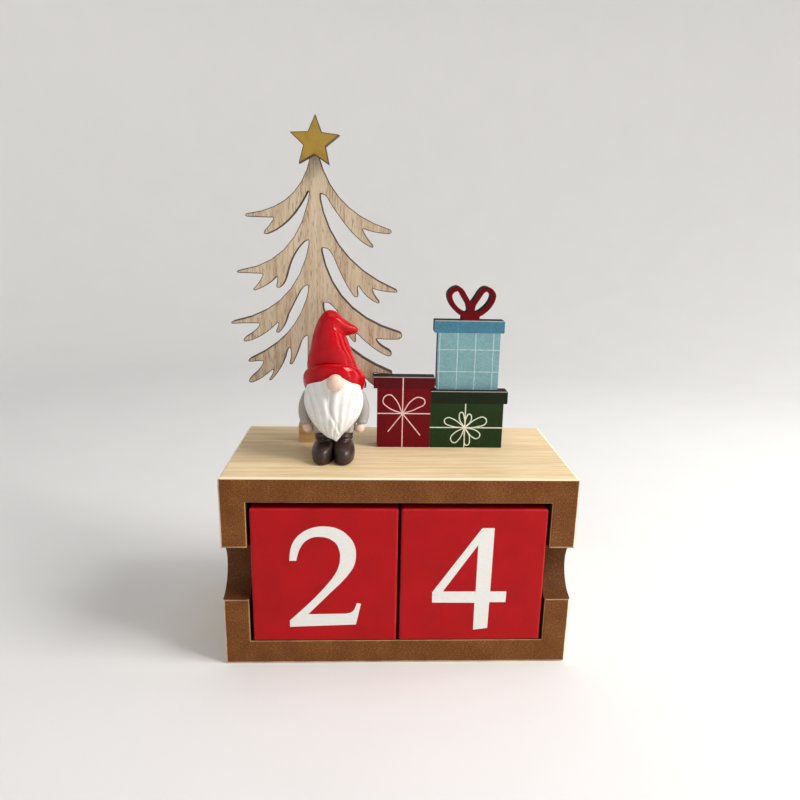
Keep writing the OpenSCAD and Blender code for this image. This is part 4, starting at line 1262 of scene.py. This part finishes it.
class CALENDAR_OT_gifts(bpy.types.Operator):
    """Paint the gifts and the bow, and print the ribbons and the check."""

    bl_idname = "calendar.gifts"
    bl_label = "Gifts and bow"

    def execute(self, context):
        gifts = settings("gifts")
        for word, top, lid in (("red", RED_HIGH.z, RED_LID), ("green", GREEN_HIGH.z, GREEN_LID),
                               ("blue", BLUE_HIGH.z, BLUE_LID)):
            box_paint, lid_paint = getattr(gifts, word), getattr(gifts, word + "_lid")
            finish(word + "_gift", printed_panel(word + "_panel_print", box_paint, lid_paint, top, lid))
        finish("gift_bow", bow_paint())
        x, z = RED_KNOT
        lines = [[(x, RED_LOW.z), (x, RED_HIGH.z - RIBBON_GAP)],
                 [(RED_LOW.x + LID_LIP, z), (RED_HIGH.x - LID_LIP, z)],
                 *([RED_KNOT, tail] for tail in RED_TAILS)]
        drawn = strokes(lines, [[RED_KNOT, *loop, RED_KNOT] for loop in RED_LOOPS])
        ink = ribbon_ink("rose_paint_pen", gifts.red_ribbon)
        piece("red_gift_ribbon", ribbon_print(drawn, GIFT_Y, ink), ink, "case", "red_panel")
        x, z = GREEN_KNOT
        lines = [[(x, GREEN_LOW.z), (x, GREEN_HIGH.z - GREEN_LID)],
                 [(GREEN_LOW.x, z), (GREEN_HIGH.x - LID_LIP, z)]]
        drawn = strokes(lines, [[GREEN_KNOT, *loop, GREEN_KNOT] for loop in GREEN_LOOPS])
        ink = ribbon_ink("cream_paint_pen", gifts.green_ribbon)
        piece("green_gift_ribbon", ribbon_print(drawn, GIFT_Y, ink), ink, "case", "green_panel")
        ink = ribbon_ink("pale_blue_paint_pen", gifts.blue_check)
        piece("blue_gift_check", check_print(ink), ink, "case", "blue_panel")
        return {"FINISHED"}


class CALENDAR_OT_gnome(bpy.types.Operator):
    """Build the cast gnome: hat, nose, beard, coat, sleeves, hands and boots."""

    bl_idname = "calendar.gnome"
    bl_label = "Gnome"

    def execute(self, context):
        gnome = settings("gnome")
        red = cast_gloss("red_gloss_paint", gnome.hat, 0.08, 0.22)
        white = cast_gloss("white_gloss_paint", gnome.beard, 0.34, 0.4, gnome.beard_groove_shade)
        skin = cast_gloss("skin_gloss_paint", gnome.skin, 0.3, 0.4)
        grey = cast_gloss("grey_gloss_paint", gnome.coat, 0.3, 0.4)
        brown = cast_gloss("brown_gloss_paint", gnome.boot, 0.33, 0.4)
        piece("cast_hat", hat_mesh(gnome), red, "case", "hat_gloss", "gnome_hat")
        piece("cast_beard", beard_mesh(gnome), white, "case", "beard_gloss", "gnome_beard")
        piece("cast_nose", nose_mesh(gnome), skin, "case", "skin_gloss", "gnome_nose")
        piece("cast_coat", coat_mesh(gnome), grey, "case", "coat_gloss", "gnome_coat")
        for side, word in ((-1, "left"), (1, "right")):
            for part, build, paint, slot in (("sleeve", sleeve_mesh, grey, "coat_gloss"),
                                             ("hand", hand_mesh, skin, "skin_gloss"),
                                             ("boot", boot_mesh, brown, "boot_gloss")):
                piece(f"cast_{word}_{part}", build(gnome, side), paint, "case", slot, f"gnome_{word}_{part}")
        return {"FINISHED"}


class CALENDAR_OT_stage(bpy.types.Operator):
    """Make the plain pale floor with its round sweep, the soft lights and the camera."""

    bl_idname = "calendar.stage"
    bl_label = "Floor, light and camera"

    def execute(self, context):
        scene = context.scene
        mesh = floor_mesh()
        mesh.materials.append(pale_paper())
        floor = placed("floor", mesh)
        world = bpy.data.worlds.new("studio")
        world.use_nodes = True
        tree = world.node_tree
        fill(tree, tree.nodes["Background"], {"Color": linear("f5f6f8"), "Strength": 0.27})
        scene.world = world
        for row in LIGHTS:
            light(*row)
        scene.camera = camera(settings("stage"))
        scene.view_settings.view_transform = "Standard"
        return {"FINISHED"}


OPERATORS = (CALENDAR_OT_stage, CALENDAR_OT_case, CALENDAR_OT_fixings, CALENDAR_OT_cubes, CALENDAR_OT_tree,
             CALENDAR_OT_gifts, CALENDAR_OT_gnome)


class CALENDAR_PT_panel(bpy.types.Panel):
    """Lists the steps that dress the calendar and their settings."""

    bl_idname = "CALENDAR_PT_panel"
    bl_label = "Block advent calendar"
    bl_space_type = "VIEW_3D"
    bl_region_type = "UI"
    bl_category = "Calendar"

    def draw(self, context):
        for operator in OPERATORS:
            self.layout.operator(operator.bl_idname)
        for group, kind in SETTINGS.items():
            box = self.layout.box()
            box.label(text=group.capitalize())
            for name in kind.__annotations__:
                box.prop(settings(group), name)


CLASSES = (*SETTINGS.values(), *OPERATORS, CALENDAR_PT_panel)


def register():
    """Register the classes and give the scene its settings."""
    for kind in CLASSES:
        bpy.utils.register_class(kind)
    for group, kind in SETTINGS.items():
        setattr(bpy.types.Scene, "calendar_" + group, PointerProperty(type=kind))


def unregister():
    """Take the settings and the classes away again."""
    for group in SETTINGS:
        delattr(bpy.types.Scene, "calendar_" + group)
    for kind in reversed(CLASSES):
        bpy.utils.unregister_class(kind)


def main():
    """Dress the frame."""
    register()
    bpy.ops.calendar.stage()
    bpy.ops.calendar.case()
    bpy.ops.calendar.fixings()
    bpy.ops.calendar.cubes()
    bpy.ops.calendar.tree()
    bpy.ops.calendar.gifts()
    bpy.ops.calendar.gnome()


if __name__ == "__main__":
    main()
